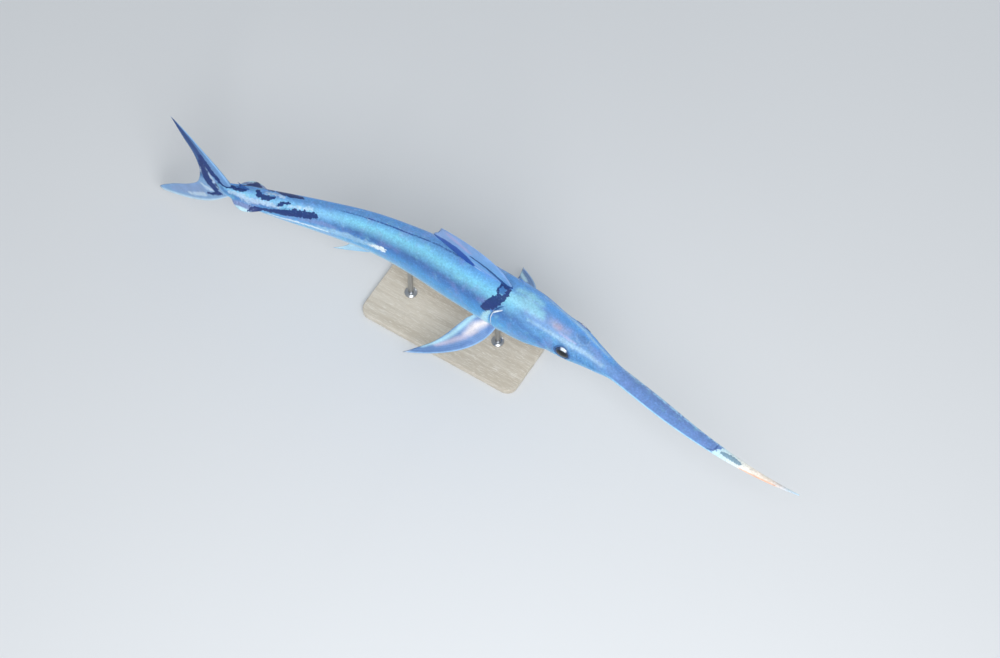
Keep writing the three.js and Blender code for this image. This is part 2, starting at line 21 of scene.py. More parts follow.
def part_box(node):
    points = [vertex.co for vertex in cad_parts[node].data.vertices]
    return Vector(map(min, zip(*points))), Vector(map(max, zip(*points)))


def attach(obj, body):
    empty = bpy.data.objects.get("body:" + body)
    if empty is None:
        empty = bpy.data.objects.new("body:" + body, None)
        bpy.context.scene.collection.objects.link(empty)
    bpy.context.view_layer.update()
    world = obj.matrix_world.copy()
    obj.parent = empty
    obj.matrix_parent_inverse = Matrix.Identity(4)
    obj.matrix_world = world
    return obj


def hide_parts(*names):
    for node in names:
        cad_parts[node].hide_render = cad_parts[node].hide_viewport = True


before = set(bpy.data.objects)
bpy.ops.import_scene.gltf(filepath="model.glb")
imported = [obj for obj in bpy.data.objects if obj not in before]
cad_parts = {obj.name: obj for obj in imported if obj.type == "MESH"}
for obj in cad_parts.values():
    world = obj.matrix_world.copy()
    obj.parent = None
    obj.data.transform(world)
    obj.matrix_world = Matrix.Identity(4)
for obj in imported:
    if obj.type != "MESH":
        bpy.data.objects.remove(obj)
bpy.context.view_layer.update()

Array = np.ndarray
Point = tuple[float, float]
Range = tuple[float, float]
Triple = tuple[float, float, float]
Stops = tuple[tuple[float, str], ...]
Place = Callable[[Array, Array], Array]
log = logging.getLogger("swordfish")

MM = 0.001
BODY_NAME = "root"
FORK_LENGTH = 1.100
AXIS_HEIGHT = 0.222
BASE_STATION = 0.4
WELD = 0.002 * MM

# The way the axis points at each station, in degrees to the left of +X
BEND = (
    (-0.46, 5.8), (-0.29, -4.7), (-0.1, -10.5), (0.05, -9.0), (0.2, -1.0), (0.4, -1.8),
    (0.55, 4.3), (0.68, 13.6), (0.8, 14.8), (0.89, 11.7), (0.95, 4.8), (1.0, -4.9),
)

# The section at each station, in shares of the fork length: half width, rise, drop; then its fullness
BODY = (
    (-0.46, 0.0011, 0.001, 0.001, 1.8),
    (-0.397, 0.0054, 0.003, 0.003, 1.7),
    (-0.262, 0.0124, 0.0055, 0.0055, 1.6),
    (-0.091, 0.0186, 0.0088, 0.0088, 1.6),
    (-0.01, 0.018, 0.0128, 0.0118, 1.7),
    (0.05, 0.0262, 0.0235, 0.027, 1.9),
    (0.1, 0.0352, 0.035, 0.0405, 2.1),
    (0.15, 0.0398, 0.0465, 0.0515, 2.15),
    (0.22, 0.0487, 0.064, 0.068, 2.15),
    (0.3, 0.0495, 0.0735, 0.0755, 2.1),
    (0.4, 0.0468, 0.0735, 0.0745, 2.1),
    (0.55, 0.0375, 0.0605, 0.0625, 2.05),
    (0.68, 0.0306, 0.0492, 0.0508, 2.0),
    (0.81, 0.025, 0.0356, 0.0361, 2.0),
    (0.9, 0.0183, 0.0228, 0.0228, 2.0),
    (0.928, 0.0125, 0.0165, 0.0165, 2.0),
    (0.944, 0.0085, 0.0178, 0.0178, 2.0),
    (0.963, 0.0026, 0.0182, 0.0182, 2.0),
)
TIP = BODY[0][0]
TAIL_END = BODY[-1][0]


class Side(Enum):
    """A side of the fish, as the sign of its sideways distance."""

    LEFT = 1
    RIGHT = -1

    @property
    def label(self) -> str:
        """The side's name in lower case."""
        return self.name.lower()


def smoothstep(low: float, high: float, x: Array) -> Array:
    """Goes smoothly from 0 at low to 1 at high."""
    share = np.clip((np.asarray(x, float) - low) / (high - low), 0.0, 1.0)
    return share * share * (3.0 - 2.0 * share)


def fold(x: Array, height: float, middle: float, width: float) -> Array:
    """A smooth hump, or a groove if its height is below 0, about two widths across."""
    return height * np.exp(-(((np.asarray(x, float) - middle) / width) ** 2))


def tube(station: Array, low: float, high: float, fade: float) -> Array:
    """Is 1 between two stations and fades out smoothly beyond them."""
    return smoothstep(low - fade, low, station) * (1.0 - smoothstep(high, high + fade, station))


class SmoothCurve:
    """A smooth curve through rows of numbers, with no overshoot between them."""

    def __init__(self, rows: Sequence[Sequence[float]], column: int) -> None:
        """Args:
            rows: Rows sorted on their first number.
            column: Which number of a row the curve gives.
        """
        table = np.array(rows, float)
        self.xs, self.ys = table[:, 0], table[:, column]
        chords = np.diff(self.ys) / np.diff(self.xs)
        before, after = chords[:-1], chords[1:]
        same = before * after > 0.0
        inner = np.where(same, 2.0 * before * after / np.where(same, before + after, 1.0), 0.0)
        self.slopes = np.concatenate([chords[:1], inner, chords[-1:]])

    def __call__(self, x: Array) -> Array:
        """Args:
            x: Where to read the curve.

        Returns:
            The curve's values there.
        """
        x = np.clip(np.asarray(x, float), self.xs[0], self.xs[-1])
        i = np.clip(np.searchsorted(self.xs, x, side="right") - 1, 0, len(self.xs) - 2)
        span = self.xs[i + 1] - self.xs[i]
        s = (x - self.xs[i]) / span
        start = (1 + 2 * s) * (1 - s) ** 2 * self.ys[i] + s * (1 - s) ** 2 * span * self.slopes[i]
        end = s * s * (3 - 2 * s) * self.ys[i + 1] + s * s * (s - 1) * span * self.slopes[i + 1]
        return start + end


def along_outline(points: Sequence[Point], share: Array) -> Array:
    """Args:
        points: 2-D points of a smooth open outline.
        share: Shares of the way along it.

    Returns:
        The outline's points there, one row each.
    """
    table = np.array(points, float)
    last = len(table) - 1
    place = np.clip(np.asarray(share, float), 0.0, 1.0) * last
    i = np.clip(np.floor(place).astype(int), 0, last - 1)
    w = (place - i)[:, None]
    p0, p1 = table[np.maximum(i - 1, 0)], table[i]
    p2, p3 = table[i + 1], table[np.minimum(i + 2, last)]
    v0, v1 = (p2 - p0) / 2.0, (p3 - p1) / 2.0
    cubic = 2 * p1 - 2 * p2 + v0 + v1
    square = -3 * p1 + 3 * p2 - 2 * v0 - v1
    return cubic * w**3 + square * w**2 + v0 * w + p1


class Backbone:
    """The body's axis, which bends from side to side at one height."""

    STEPS = 800

    def __init__(self) -> None:
        """Lays the axis out from the bill's tip to the fork."""
        self.heading = SmoothCurve(BEND, 1)
        self.stations = np.linspace(TIP, 1.0, self.STEPS + 1)
        middles = (self.stations[1:] + self.stations[:-1]) / 2.0
        angles = np.radians(self.heading(middles))
        step = (1.0 - TIP) / self.STEPS * FORK_LENGTH
        self.x = np.concatenate([[0.0], np.cumsum(-np.cos(angles) * step)])
        self.y = np.concatenate([[0.0], np.cumsum(-np.sin(angles) * step)])
        self.x -= np.interp(BASE_STATION, self.stations, self.x)
        self.y -= np.interp(BASE_STATION, self.stations, self.y)

    def forward(self, station: Array) -> Array:
        """The axis's direction towards the bill, one row for each station."""
        angle = np.radians(self.heading(station))
        return np.stack([np.cos(angle), np.sin(angle), np.zeros_like(angle)], -1)

    def beside(self, station: Array, lateral: Array, height: Array) -> Array:
        """Args:
            station: Places along the body.
            lateral: How far left of the axis.
            height: How far above it.

        Returns:
            The points, one row each.
        """
        station, lateral, height = np.broadcast_arrays(
            np.asarray(station, float), np.asarray(lateral, float), np.asarray(height, float)
        )
        ahead = self.forward(station)
        past = np.maximum(0.0, station - 1.0) * FORK_LENGTH
        x = np.interp(station, self.stations, self.x) - ahead[..., 0] * past - ahead[..., 1] * lateral
        y = np.interp(station, self.stations, self.y) - ahead[..., 1] * past + ahead[..., 0] * lateral
        return np.stack([x, y, AXIS_HEIGHT + height], -1)


class BodyShape:
    """The smooth body before any detail: a rounded section at each station of the backbone."""

    def __init__(self, backbone: Backbone) -> None:
        """Args:
            backbone: The axis that the sections stand on.
        """
        self.backbone = backbone
        self.half_width = SmoothCurve(BODY, 1)
        self.rise = SmoothCurve(BODY, 2)
        self.drop = SmoothCurve(BODY, 3)
        self.fullness = SmoothCurve(BODY, 4)

    def section(self, station: Array, around: Array, lift: Array | float = 0.0) -> tuple[Array, Array]:
        """Args:
            station: Places along the body.
            around: Angles round it, in degrees.
            lift: How far the surface is lifted off the smooth body.

        Returns:
            How far left of the axis and how far above it the surface is.
        """
        angle = np.radians(around)
        power = 2.0 / self.fullness(station)
        across, upward = -np.sin(angle), np.cos(angle)
        reach = np.where(upward > 0.0, self.rise(station), self.drop(station))
        width = self.half_width(station) * FORK_LENGTH + lift
        lateral = np.sign(across) * np.abs(across) ** power * np.maximum(width, 0.0)
        height = np.sign(upward) * np.abs(upward) ** power * np.maximum(reach * FORK_LENGTH + lift, 0.0)
        return lateral, height

    def girth(self, station: float, around: float) -> float:
        """Args:
            station: A place along the body.
            around: An angle round it, in degrees.

        Returns:
            The length over the skin from the middle of the back, positive down the right flank.
        """
        angles = np.linspace(0.0, around, 60)
        lateral, height = self.section(np.full(60, station), angles)
        return math.copysign(float(np.hypot(np.diff(lateral), np.diff(height)).sum()), around)


# What the head and gills are drawn from, in stations and shares of the fork length
GILL_BACK, GILL_FLANK, GILL_THROAT = 0.215, 0.286, 0.23
GILL_MIDDLE = (GILL_BACK + GILL_FLANK) / 2.0
GILL_CURVE, GILL_FADE = 1.2, 0.1
MOUTH_TIP, MOUTH_CORNER, MOUTH_BEND = -0.02, 0.138, 0.03
MOUTH_TIP_HEIGHT, MOUTH_CORNER_HEIGHT = -0.0108, -0.0255

# Where the middle of each eye is, and how far its ball reaches from there along the head and upwards
EYE_STATION, EYE_HEIGHT = 0.115, 3.0 * MM
EYE_ALONG, EYE_UP = 22.0 * MM, 21.0 * MM


def gill_edge(around: Array) -> Array:
    """The gill edge's station at an angle round the body."""
    end = np.where(np.abs(around) < 90.0, GILL_BACK, GILL_THROAT)
    return end + (GILL_FLANK - end) * np.abs(np.sin(np.radians(around))) ** GILL_CURVE


def mouth_height(station: Array) -> Array:
    """The mouth line's height over the axis, in metres."""
    share = smoothstep(MOUTH_BEND, MOUTH_CORNER, station)
    return (MOUTH_TIP_HEIGHT + (MOUTH_CORNER_HEIGHT - MOUTH_TIP_HEIGHT) * share) * FORK_LENGTH


@dataclass
class SkinRelief:
    """How far each detail of the skin stands out from the smooth body, or is let into it.

    A fold is its height, or its depth below 0, then where its middle is and its width. A swelling is its
    height, its width in degrees, the stations that it runs between and how it fades out beyond them. What
    faces sideways goes from 0 on the back and belly to 1 on the middle of a flank.
    """

    shape: BodyShape
    station: Array
    around: Array
    gill_flare: float = 2.2 * MM
    gill_tuck: float = 0.9 * MM
    tuck_length: float = 33.0 * MM
    gill_hem: Triple = (0.7 * MM, -3.0 * MM, 2.4 * MM)
    gill_slit: Triple = (-3.4 * MM, 1.4 * MM, 1.3 * MM)
    gill_step: Range = (-0.3 * MM, 0.9 * MM)
    free_above: Range = (0.62, 0.8)
    free_below: Range = (0.12, 0.4)
    cheek: float = 0.15
    cover_start: float = 0.1
    cover_front: float = 0.152
    cover_nose: float = 0.05
    cover_middle: float = -0.007
    cover_half: float = 0.043
    cover_facing: Range = (0.25, 0.6)
    cover_fade: Range = (-0.03, -0.008)
    cover_groove: Triple = (-0.9 * MM, 0.0, 1.5 * MM)
    cover_swell: float = 0.7 * MM
    swell_fade: Range = (-9.0 * MM, 0.0)
    rib_height: float = 0.22 * MM
    rib_count: float = 19.0
    rib_root: float = 0.132
    rib_fade: Range = (-12.0 * MM, -3.0 * MM)
    mouth_line: Triple = (-2.6 * MM, 0.0, 0.9 * MM)
    line_fade: float = 0.006
    upper_lip: Triple = (1.5 * MM, 2.4 * MM, 1.6 * MM)
    lower_lip: Triple = (1.5 * MM, -2.4 * MM, 1.8 * MM)
    lip_start: float = 0.012
    lip_fade: float = 0.02
    corner_fold: Triple = (-1.2 * MM, 4.5 * MM, 1.2 * MM)
    socket_depth: float = 9.0 * MM
    socket_edge: Range = (0.66, 0.86)
    eye_facing: Range = (0.35, 0.7)
    eye_folds: tuple[Triple, ...] = (
        (2.6 * MM, 0.93, 0.11), (-0.8 * MM, 1.2, 0.06), (0.9 * MM, 1.36, 0.13),
    )
    nostrils: tuple[Triple, ...] = ((0.0755, 0.0122, 3.1 * MM), (0.0835, 0.0136, 2.4 * MM))
    nostril_stretch: float = 1.35
    nostril_depth: float = 1.1
    nostril_floor: float = 0.45
    nostril_rim: Triple = (0.16, 1.3, 0.3)
    nostril_facing: Range = (0.3, 0.5)
    keel_front: float = 0.8
    keel_rear: float = 0.923
    keel_widest: float = 0.645
    keel_lateral: float = 0.0385
    keel_spread: float = 27.0
    keel_roundness: float = 0.8
    keel_taper: float = 1.7
    back_swellings: tuple[tuple[float, ...], ...] = (
        (0.9 * MM, 9.0, 0.4, 0.86, 0.03),
        (2.6 * MM, 8.0, 0.268, 0.372, 0.014),
        (1.6 * MM, 13.0, 0.872, 0.895, 0.008),
        (-0.5 * MM, 3.0, 0.1, 0.235, 0.03),
    )
    belly_swellings: tuple[tuple[float, ...], ...] = (
        (0.7 * MM, 9.0, 0.66, 0.86, 0.03),
        (2.2 * MM, 9.0, 0.57, 0.645, 0.012),
        (1.6 * MM, 13.0, 0.868, 0.889, 0.008),
    )
    bill_ridge: float = 0.16 * MM
    bill_ridges: float = 22.0
    bill_root: Range = (-0.06, 0.02)
    bill_point: Range = (TIP, TIP + 0.12)

    def __post_init__(self) -> None:
        """Works out each vertex's height on the smooth body, and how far it faces sideways."""
        self.height = self.shape.section(self.station, self.around)[1]
        self.sideways = np.abs(np.sin(np.radians(self.around)))

    def gill(self) -> Array:
        """Returns:
            The gill cover's raised rear edge, the slit behind it and the tucked-in shoulder. The edge
            stands free only on the flank, not over the back and not under the throat.
        """
        behind = (self.station - gill_edge(self.around)) * FORK_LENGTH
        above, below = (smoothstep(*free, self.sideways) for free in (self.free_above, self.free_below))
        free = np.where(np.abs(self.around) < 90.0, above, below)
        flank = self.sideways * free
        cover = self.gill_flare * flank * smoothstep(self.cheek, GILL_FLANK, self.station)
        shoulder = -self.gill_tuck * flank * (1.0 - smoothstep(0.0, self.tuck_length, behind))
        edge = smoothstep(*self.gill_step, behind)
        front = cover + free * fold(behind, *self.gill_hem)
        return front * (1.0 - edge) + shoulder * edge + free * fold(behind, *self.gill_slit)

    def cover_plate(self) -> Array:
        """Returns:
            The shallow groove round the front of the gill cover, and the faint ribs that fan out behind it.
        """
        along = np.minimum(0.0, (self.station - self.cover_front - self.cover_nose) / self.cover_nose)
        up = self.height / FORK_LENGTH - self.cover_middle
        outside = (np.hypot(along, up / self.cover_half) - 1.0) * self.cover_half * FORK_LENGTH
        swell = self.cover_swell * (1.0 - smoothstep(*self.swell_fade, outside))
        fan = np.arctan2(up, self.station - self.rib_root) * self.rib_count
        ribs = self.rib_height * np.cos(fan) * (1.0 - smoothstep(*self.rib_fade, outside))
        before_edge = 1.0 - smoothstep(*self.cover_fade, self.station - gill_edge(self.around))
        flank = smoothstep(*self.cover_facing, self.sideways) * (self.station > self.cover_start)
        return (fold(outside, *self.cover_groove) + swell + ribs) * flank * before_edge

    def mouth(self) -> Array:
        """Returns:
            The line of the mouth between its two lips, and the fold behind its corner.
        """
        above = self.height - mouth_height(self.station)
        line = fold(above, *self.mouth_line) * tube(self.station, MOUTH_TIP, MOUTH_CORNER, self.line_fade)
        lips = fold(above, *self.upper_lip) + fold(above, *self.lower_lip)
        corner = np.hypot((self.station - MOUTH_CORNER) * FORK_LENGTH, above)
        behind = fold(corner, *self.corner_fold) * (self.station > MOUTH_CORNER)
        return line + lips * tube(self.station, self.lip_start, MOUTH_CORNER, self.lip_fade) + behind

    def eye_radius(self) -> Array:
        """The distance from the middle of the eye, where 1 is the eyeball's own outline."""
        along = (self.station - EYE_STATION) * FORK_LENGTH / EYE_ALONG
        return np.hypot(along, (self.height - EYE_HEIGHT) / EYE_UP)

    def eye(self) -> Array:
        """Returns:
            The eye's socket, the soft rim of skin that hugs the ball, the fold round it and the brow.
        """
        radius = self.eye_radius()
        socket = -self.socket_depth * (1.0 - smoothstep(*self.socket_edge, radius))
        folds = sum(fold(radius, *shape) for shape in self.eye_folds)
        return (socket + folds) * smoothstep(*self.eye_facing, self.sideways)

    def nostril_pits(self) -> Array:
        """Returns:
            Two small pits on each side in front of the eye, with soft edges.
        """
        total = np.zeros_like(self.station)
        for place, level, radius in self.nostrils:
            along = (self.station - place) * FORK_LENGTH / self.nostril_stretch
            away = np.hypot(along, self.height - level * FORK_LENGTH) / radius
            pit = self.nostril_depth * (1.0 - smoothstep(self.nostril_floor, 1.0, away))
            total += (fold(away, *self.nostril_rim) - pit) * radius
        return total * smoothstep(*self.nostril_facing, self.sideways)

    def keel(self) -> Array:
        """Returns:
            The flat keel that grows out of each side of the tail stock, thinning to its edge.
        """
        share = (self.station - self.keel_front) / (self.keel_rear - self.keel_front)
        skew = np.clip(share, 0.0, 1.0) ** (math.log(0.5) / math.log(self.keel_widest))
        leaf = self.keel_lateral * np.sin(math.pi * skew) ** self.keel_roundness
        reach = np.maximum(0.0, leaf - self.shape.half_width(self.station)) * FORK_LENGTH
        off_middle = np.abs(np.abs(self.around) - 90.0)
        return reach * np.maximum(0.0, 1.0 - off_middle / self.keel_spread) ** self.keel_taper

    def back_and_belly(self) -> Array:
        """Returns:
            The low ridges along the back and belly, the fins' swollen roots and the furrow on the nape.
        """
        total = np.zeros_like(self.station)
        back = np.abs(self.around)
        for off, swellings in ((back, self.back_swellings), (180.0 - back, self.belly_swellings)):
            for height, width, start, end, fade in swellings:
                total += fold(off, height, 0.0, width) * tube(self.station, start, end, fade)
        return total

    def bill(self) -> Array:
        """Returns:
            Fine ridges that run along the bill, above and below.
        """
        ridges = self.bill_ridge * np.cos(np.radians(self.around) * self.bill_ridges)
        ridges *= smoothstep(*self.bill_point, self.station)
        return ridges * (1.0 - smoothstep(*self.bill_root, self.station))

    def lift(self) -> Array:
        """The sum of all the details."""
        outline = self.gill() + self.keel() + self.back_and_belly() + self.bill()
        return outline + self.cover_plate() + self.mouth() + self.eye() + self.nostril_pits()


@dataclass(frozen=True)
class Mark:
    """A painted mark: a chain of round blobs, each (first place, second place, radius in mm)."""

    blobs: tuple[Triple, ...]

    def distance(self, x: Array, y: Array, to_plane: Callable[[float, float], Point]) -> Array:
        """Args:
            x: First coordinates on the surface, in metres.
            y: Second coordinates on it.
            to_plane: Turns a blob's place into those coordinates.

        Returns:
            The distance to the mark's edge, in mm, less than 0 inside it.
        """
        centres = [(*to_plane(a, b), radius * MM) for a, b, radius in self.blobs]
        best = np.full_like(np.asarray(x, float), 1.0)
        for start, end in zip(centres, centres[1:] or centres):
            run = (end[0] - start[0], end[1] - start[1])
            length = run[0] ** 2 + run[1] ** 2 or 1.0
            share = np.clip(((x - start[0]) * run[0] + (y - start[1]) * run[1]) / length, 0.0, 1.0)
            away = np.hypot(x - start[0] - share * run[0], y - start[1] - share * run[1])
            best = np.minimum(best, away - (start[2] + share * (end[2] - start[2])))
        return best / MM


@dataclass(frozen=True)
class Tint:
    """Marks of one colour, how strong they are, how soft their edge is and how ragged, in mm."""

    colour: str
    marks: tuple[Mark, ...]
    strength: float = 0.9
    soft: float = 1.0
    ragged: float = 0.0
    lump: float = 9.0

    def distance(self, x: Array, y: Array, to_plane: Callable[[float, float], Point]) -> Array:
        """The distance to the nearest mark's edge, in mm, kept to a short range."""
        every = [mark.distance(x, y, to_plane) for mark in self.marks]
        return np.clip(np.min(every, axis=0), -60.0, 60.0)


def tint_layers(
    tints: Sequence[Tint], x: Array, y: Array, to_plane: Callable[[float, float], Point],
) -> dict[str, Array]:
    """Args:
        tints: The tints of one surface.
        x: First coordinates on the surface, in metres.
        y: Second coordinates on it.
        to_plane: Turns a blob's place into those coordinates.

    Returns:
        Their distances, three to a vertex attribute.
    """
    every = [tint.distance(x, y, to_plane) for tint in tints]
    every += every[:1] * (-len(every) % 3)
    return {f"Tint{i // 3}": np.stack(every[i:i + 3], -1) for i in range(0, len(every), 3)}


def both_sides(*blobs: Triple) -> tuple[Mark, Mark]:
    """The same mark on the right flank and on the left one."""
    return Mark(blobs), Mark(tuple((place, -turn, radius) for place, turn, radius in blobs))


# The marks on the skin, in stations and angles round the body; later ones lie over earlier ones
SKIN_TINTS = (
    # Head: cyan nape, lilac crown with a faint blush, slate oval on the snout, pale streaks, dark cheek
    Tint("#98dae8", (Mark(((0.268, 20, 9), (0.236, 12, 14), (0.21, 10, 14), (0.184, 14, 9))),
                     Mark(((0.25, -6, 7), (0.225, -11, 9), (0.198, -10, 7)))), 0.66, 8.0, 12.0, 13.0),
    Tint("#a6aed2", (Mark(((0.162, 12, 5), (0.145, 14, 9), (0.12, 12, 6))),), 0.58, 9.0, 10.0, 14.0),
    Tint("#c8a6b0", (Mark(((0.152, 16, 3), (0.142, 14, 5))),), 0.5, 8.0, 6.0, 12.0),
    Tint("#5880b4", (Mark(((0.1, -2, 5), (0.09, -4, 8), (0.08, -4, 5))),), 0.62, 5.0, 4.0, 8.0),
    Tint("#b4d8f2", (Mark(((0.106, -4, 0.6), (0.098, 14, 0.9), (0.085, 17, 0.9), (0.075, 2, 0.9),
                           (0.078, -18, 0.8), (0.094, -34, 0.6))),), 0.32, 1.8, 3.0, 8.0),
    Tint("#c8c4ec", (Mark(((0.135, 27, 1.5), (0.113, 27, 2.4), (0.096, 24, 1.5))),
                     Mark(((0.13, -57, 1.0), (0.115, -55, 1.6), (0.1, -57, 1.0)))), 0.5, 3.0, 5.0, 8.0),
    Tint("#c4e8f6", both_sides((0.205, 38, 1.5), (0.175, 41, 3), (0.142, 42, 4.5), (0.103, 40, 6),
                               (0.07, 33, 4), (0.03, 38, 3)), 0.45, 5.0, 8.0, 10.0),
    Tint("#3f66ac",
         both_sides((0.238, 50, 4), (0.22, 58, 7), (0.197, 64, 6), (0.175, 78, 6), (0.162, 98, 8)),
         0.5, 7.0, 8.0, 12.0),
    Tint("#bcecf6", both_sides((0.29, 72, 5), (0.297, 84, 7), (0.302, 100, 9), (0.303, 120, 9)),
         0.8, 4.0, 6.0, 10.0),
    # Gill edge and lower flank: a painted highlight on the gill cover's hem, thin pale lines, and a painted
    # highlight over the anal fin that trails into pale mottling
    # A painted highlight: a thin bright line along the gill cover's raised hem
    Tint("#eef8ff", both_sides((0.261, 50, 1.0), (0.272, 58, 1.9), (0.281, 66, 1.7), (0.284, 80, 1.1),
                               (0.2835, 102, 1.1), (0.274, 124, 0.9)), 0.85, 1.0),
    # Pale mottling on the lower flank, partly a painted highlight trailing back from the bright spot
    Tint("#a8d2ec", both_sides((0.735, 93, 6), (0.704, 90, 10), (0.667, 83, 10), (0.639, 83, 10),
                               (0.61, 83, 10), (0.582, 80, 9)), 0.62, 5.0, 24.0, 9.0),
    # A painted highlight over the anal fin, on the right flank only
    Tint("#f2fcff", (Mark(((0.6, 83, 2), (0.579, 79, 6), (0.563, 78, 9))),), 0.9, 2.5, 16.0, 6.0),
    Tint("#8ea0d4", both_sides((0.76, 76, 4), (0.735, 70, 6), (0.71, 66, 6), (0.68, 68, 5)),
         0.45, 4.0, 8.0, 12.0),
    Tint("#e4f6ff", both_sides((0.83, 104, 2), (0.8, 100, 3.2), (0.772, 94, 3.8), (0.751, 93, 3.6),
                               (0.722, 92, 2.6), (0.694, 94, 1.0)), 0.8, 2.4, 9.0, 7.0),
    # Pale patches between the navy ones on the tail stock
    Tint("#d2e8fa", (Mark(((0.92, 45, 3), (0.9, 40, 4), (0.885, 50, 7), (0.868, 56, 6), (0.85, 50, 6),
                           (0.825, 46, 5), (0.806, 52, 3))),
                     Mark(((0.842, 1, 2), (0.826, -6, 3.5), (0.812, -4, 3), (0.8, 2, 2))),
                     Mark(((0.784, 34, 2), (0.754, 29, 4), (0.735, 26, 4)))), 0.6, 3.5, 18.0, 6.0),
    Tint("#2f6cb0", (Mark(((0.281, 15, 9), (0.271, 15, 9))),), 0.9, 3.0),
    # Where the flesh thins out on the tail fin
    Tint("#6c98cf", both_sides((0.965, 10, 9), (0.965, 90, 9), (0.965, 170, 9)), 0.9, 6.0, 4.0, 8.0),
    # The line along the back, with pale flecks beside it
    Tint("#d8f2fc", (Mark(((0.65, -18, 0.4), (0.61, -24, 0.6))), Mark(((0.62, 2, 1.2), (0.606, 9, 1.4))),
                     Mark(((0.59, 6, 0.8), (0.58, 10, 0.5))), Mark(((0.57, 0, 0.8), (0.562, 7, 0.4))),
                     Mark(((0.546, -4, 0.5), (0.538, 1, 0.5)))), 0.6, 1.0, 6.0, 3.0),
    Tint("#1d4490", (Mark((
        (0.377, -2, 2.0), (0.41, -2, 1.8), (0.454, -2, 1.7), (0.482, 0, 1.6), (0.519, 3, 1.6),
        (0.557, 4, 1.6), (0.594, 5, 1.5), (0.631, 5, 1.3), (0.663, 5, 0.9), (0.69, 5, 0.2))),),
        0.85, 1.0, 3.5, 5.0),
    # The bill's dark end, its blotch and its warm lower edge
    Tint("#35528e", (Mark(((-0.25, 64, 1.2), (-0.262, 44, 2.0), (-0.2665, 10, 2.6), (-0.264, -30, 1.8))),),
         0.7, 1.4),
    Tint("#6a90aa", (Mark(((-0.279, 16, 2.2), (-0.288, 8, 4.2), (-0.298, 0, 6.0), (-0.311, 4, 5.6),
                           (-0.325, 13, 3.4))),), 0.85, 0.7, 7.0, 4.0),
    Tint("#e6a078", (Mark(((-0.325, 76, 0.8), (-0.35, 72, 1.7), (-0.375, 68, 1.9), (-0.41, 62, 1.0))),),
         0.85, 2.2),
    # Navy patches: the shoulder and the ring above it, the tail stock, the flank before it, the far side
    Tint("#0b2c70", (
        Mark(((0.303, 71, 9), (0.293, 57, 12), (0.283, 43, 12), (0.276, 34, 10))),
        Mark(((0.275, 31, 6), (0.285, 24, 2.5), (0.288, 14, 2.5), (0.285, 5, 4), (0.277, 1, 6.5),
              (0.267, 7, 5), (0.266, 17, 5), (0.27, 28, 6))),
        Mark(((0.861, -8, 4), (0.858, -2, 5), (0.855, 14, 6), (0.842, 23, 6), (0.83, 20, 5.5),
              (0.821, 14, 4))),
        Mark(((0.812, 46, 2.5), (0.806, 37, 4), (0.797, 27, 4.2), (0.785, 24, 3))),
        Mark(((0.868, 84, 3), (0.849, 83, 5), (0.824, 77, 6.5), (0.81, 71, 7.5), (0.8, 68, 8.5))),
        Mark(((0.8, 68, 8.5), (0.779, 61, 9.5), (0.762, 54, 9.5), (0.745, 52, 9.5), (0.735, 50, 9),
              (0.724, 48, 6))),
        Mark(((0.774, 52, 4), (0.771, 39, 2))), Mark(((0.753, 50, 4), (0.75, 36, 2))),
        Mark(((0.733, 46, 4), (0.73, 35, 2))),
        Mark(((0.902, -18, 4), (0.893, -42, 7), (0.885, -62, 9), (0.872, -74, 9), (0.86, -60, 8),
              (0.848, -50, 7))),
        Mark(((0.838, -36, 4), (0.828, -32, 4))),
        Mark(((0.818, -34, 5), (0.803, -29, 9), (0.79, -26, 10), (0.777, -21, 8), (0.76, -14, 4))),
        Mark(((0.963, 22, 5), (0.947, 16, 5.5), (0.935, 9, 5.5), (0.92, 9, 5), (0.904, 14, 4),
              (0.893, 12, 4), (0.883, -2, 3))),
        Mark(((0.3, -62, 8), (0.292, -48, 7))),
        *both_sides((0.952, 104, 5), (0.962, 92, 9), (0.975, 84, 12)),
    ), 0.95, 0.7, 14.0, 6.0),
)


def srgb(code: str) -> tuple[float, float, float, float]:
    """Turns a hex colour as seen on a screen into linear light."""
    channels = [int(code[i:i + 2], 16) / 255.0 for i in (1, 3, 5)]
    return (*(c / 12.92 if c <= 0.04045 else ((c + 0.055) / 1.055) ** 2.4 for c in channels), 1.0)


def lumps(size: float) -> float:
    """The scale of a noise whose lumps are about size mm across."""
    return 1.0 / (size * MM)


@dataclass(frozen=True)
class Kind:
    """A kind of node: its type, its inputs in order with their usual values, and the output to read.

    An input without a usual value stays as the node has it, and no output means all of them.
    """

    type: str
    inputs: tuple[tuple[str | int, Any], ...] = ()
    output: str | int | None = 0
    settings: tuple[tuple[str, str], ...] = ()


# The kinds of node that the finishes use; any other name is what a Math node does
KINDS = {
    "place": Kind("TexCoord", output="Object"),
    "uv": Kind("UVMap"),
    "attribute": Kind("Attribute", output="Vector"),
    "split": Kind("SeparateXYZ", ((0, None),), None),
    "join": Kind("CombineXYZ", ((0, 0.0), (1, 0.0))),
    "grey": Kind("CombineColor", ((0, None), (1, None), (2, None))),
    "stretch": Kind("Mapping", ((0, None), ("Scale", None))),
    "fade": Kind("MapRange", tuple((name, None) for name in ("Value", "From Min", "From Max")),
                 settings=(("interpolation_type", "SMOOTHSTEP"),)),
    "mix": Kind("Mix", ((0, None), (6, None), (7, None)), 2, (("data_type", "RGBA"),)),
    "ramp": Kind("ValToRGB", ((0, None),)),
    "noise": Kind("TexNoise", (("Vector", None), ("Scale", None), ("Detail", 3.0), ("Roughness", 0.55))),
    "bump": Kind("Bump", (("Height", None), ("Distance", None), ("Strength", 1.0), ("Normal", None))),
}
MATH = Kind("Math", ((0, 0.0), (1, 0.0), (2, 0.0)))


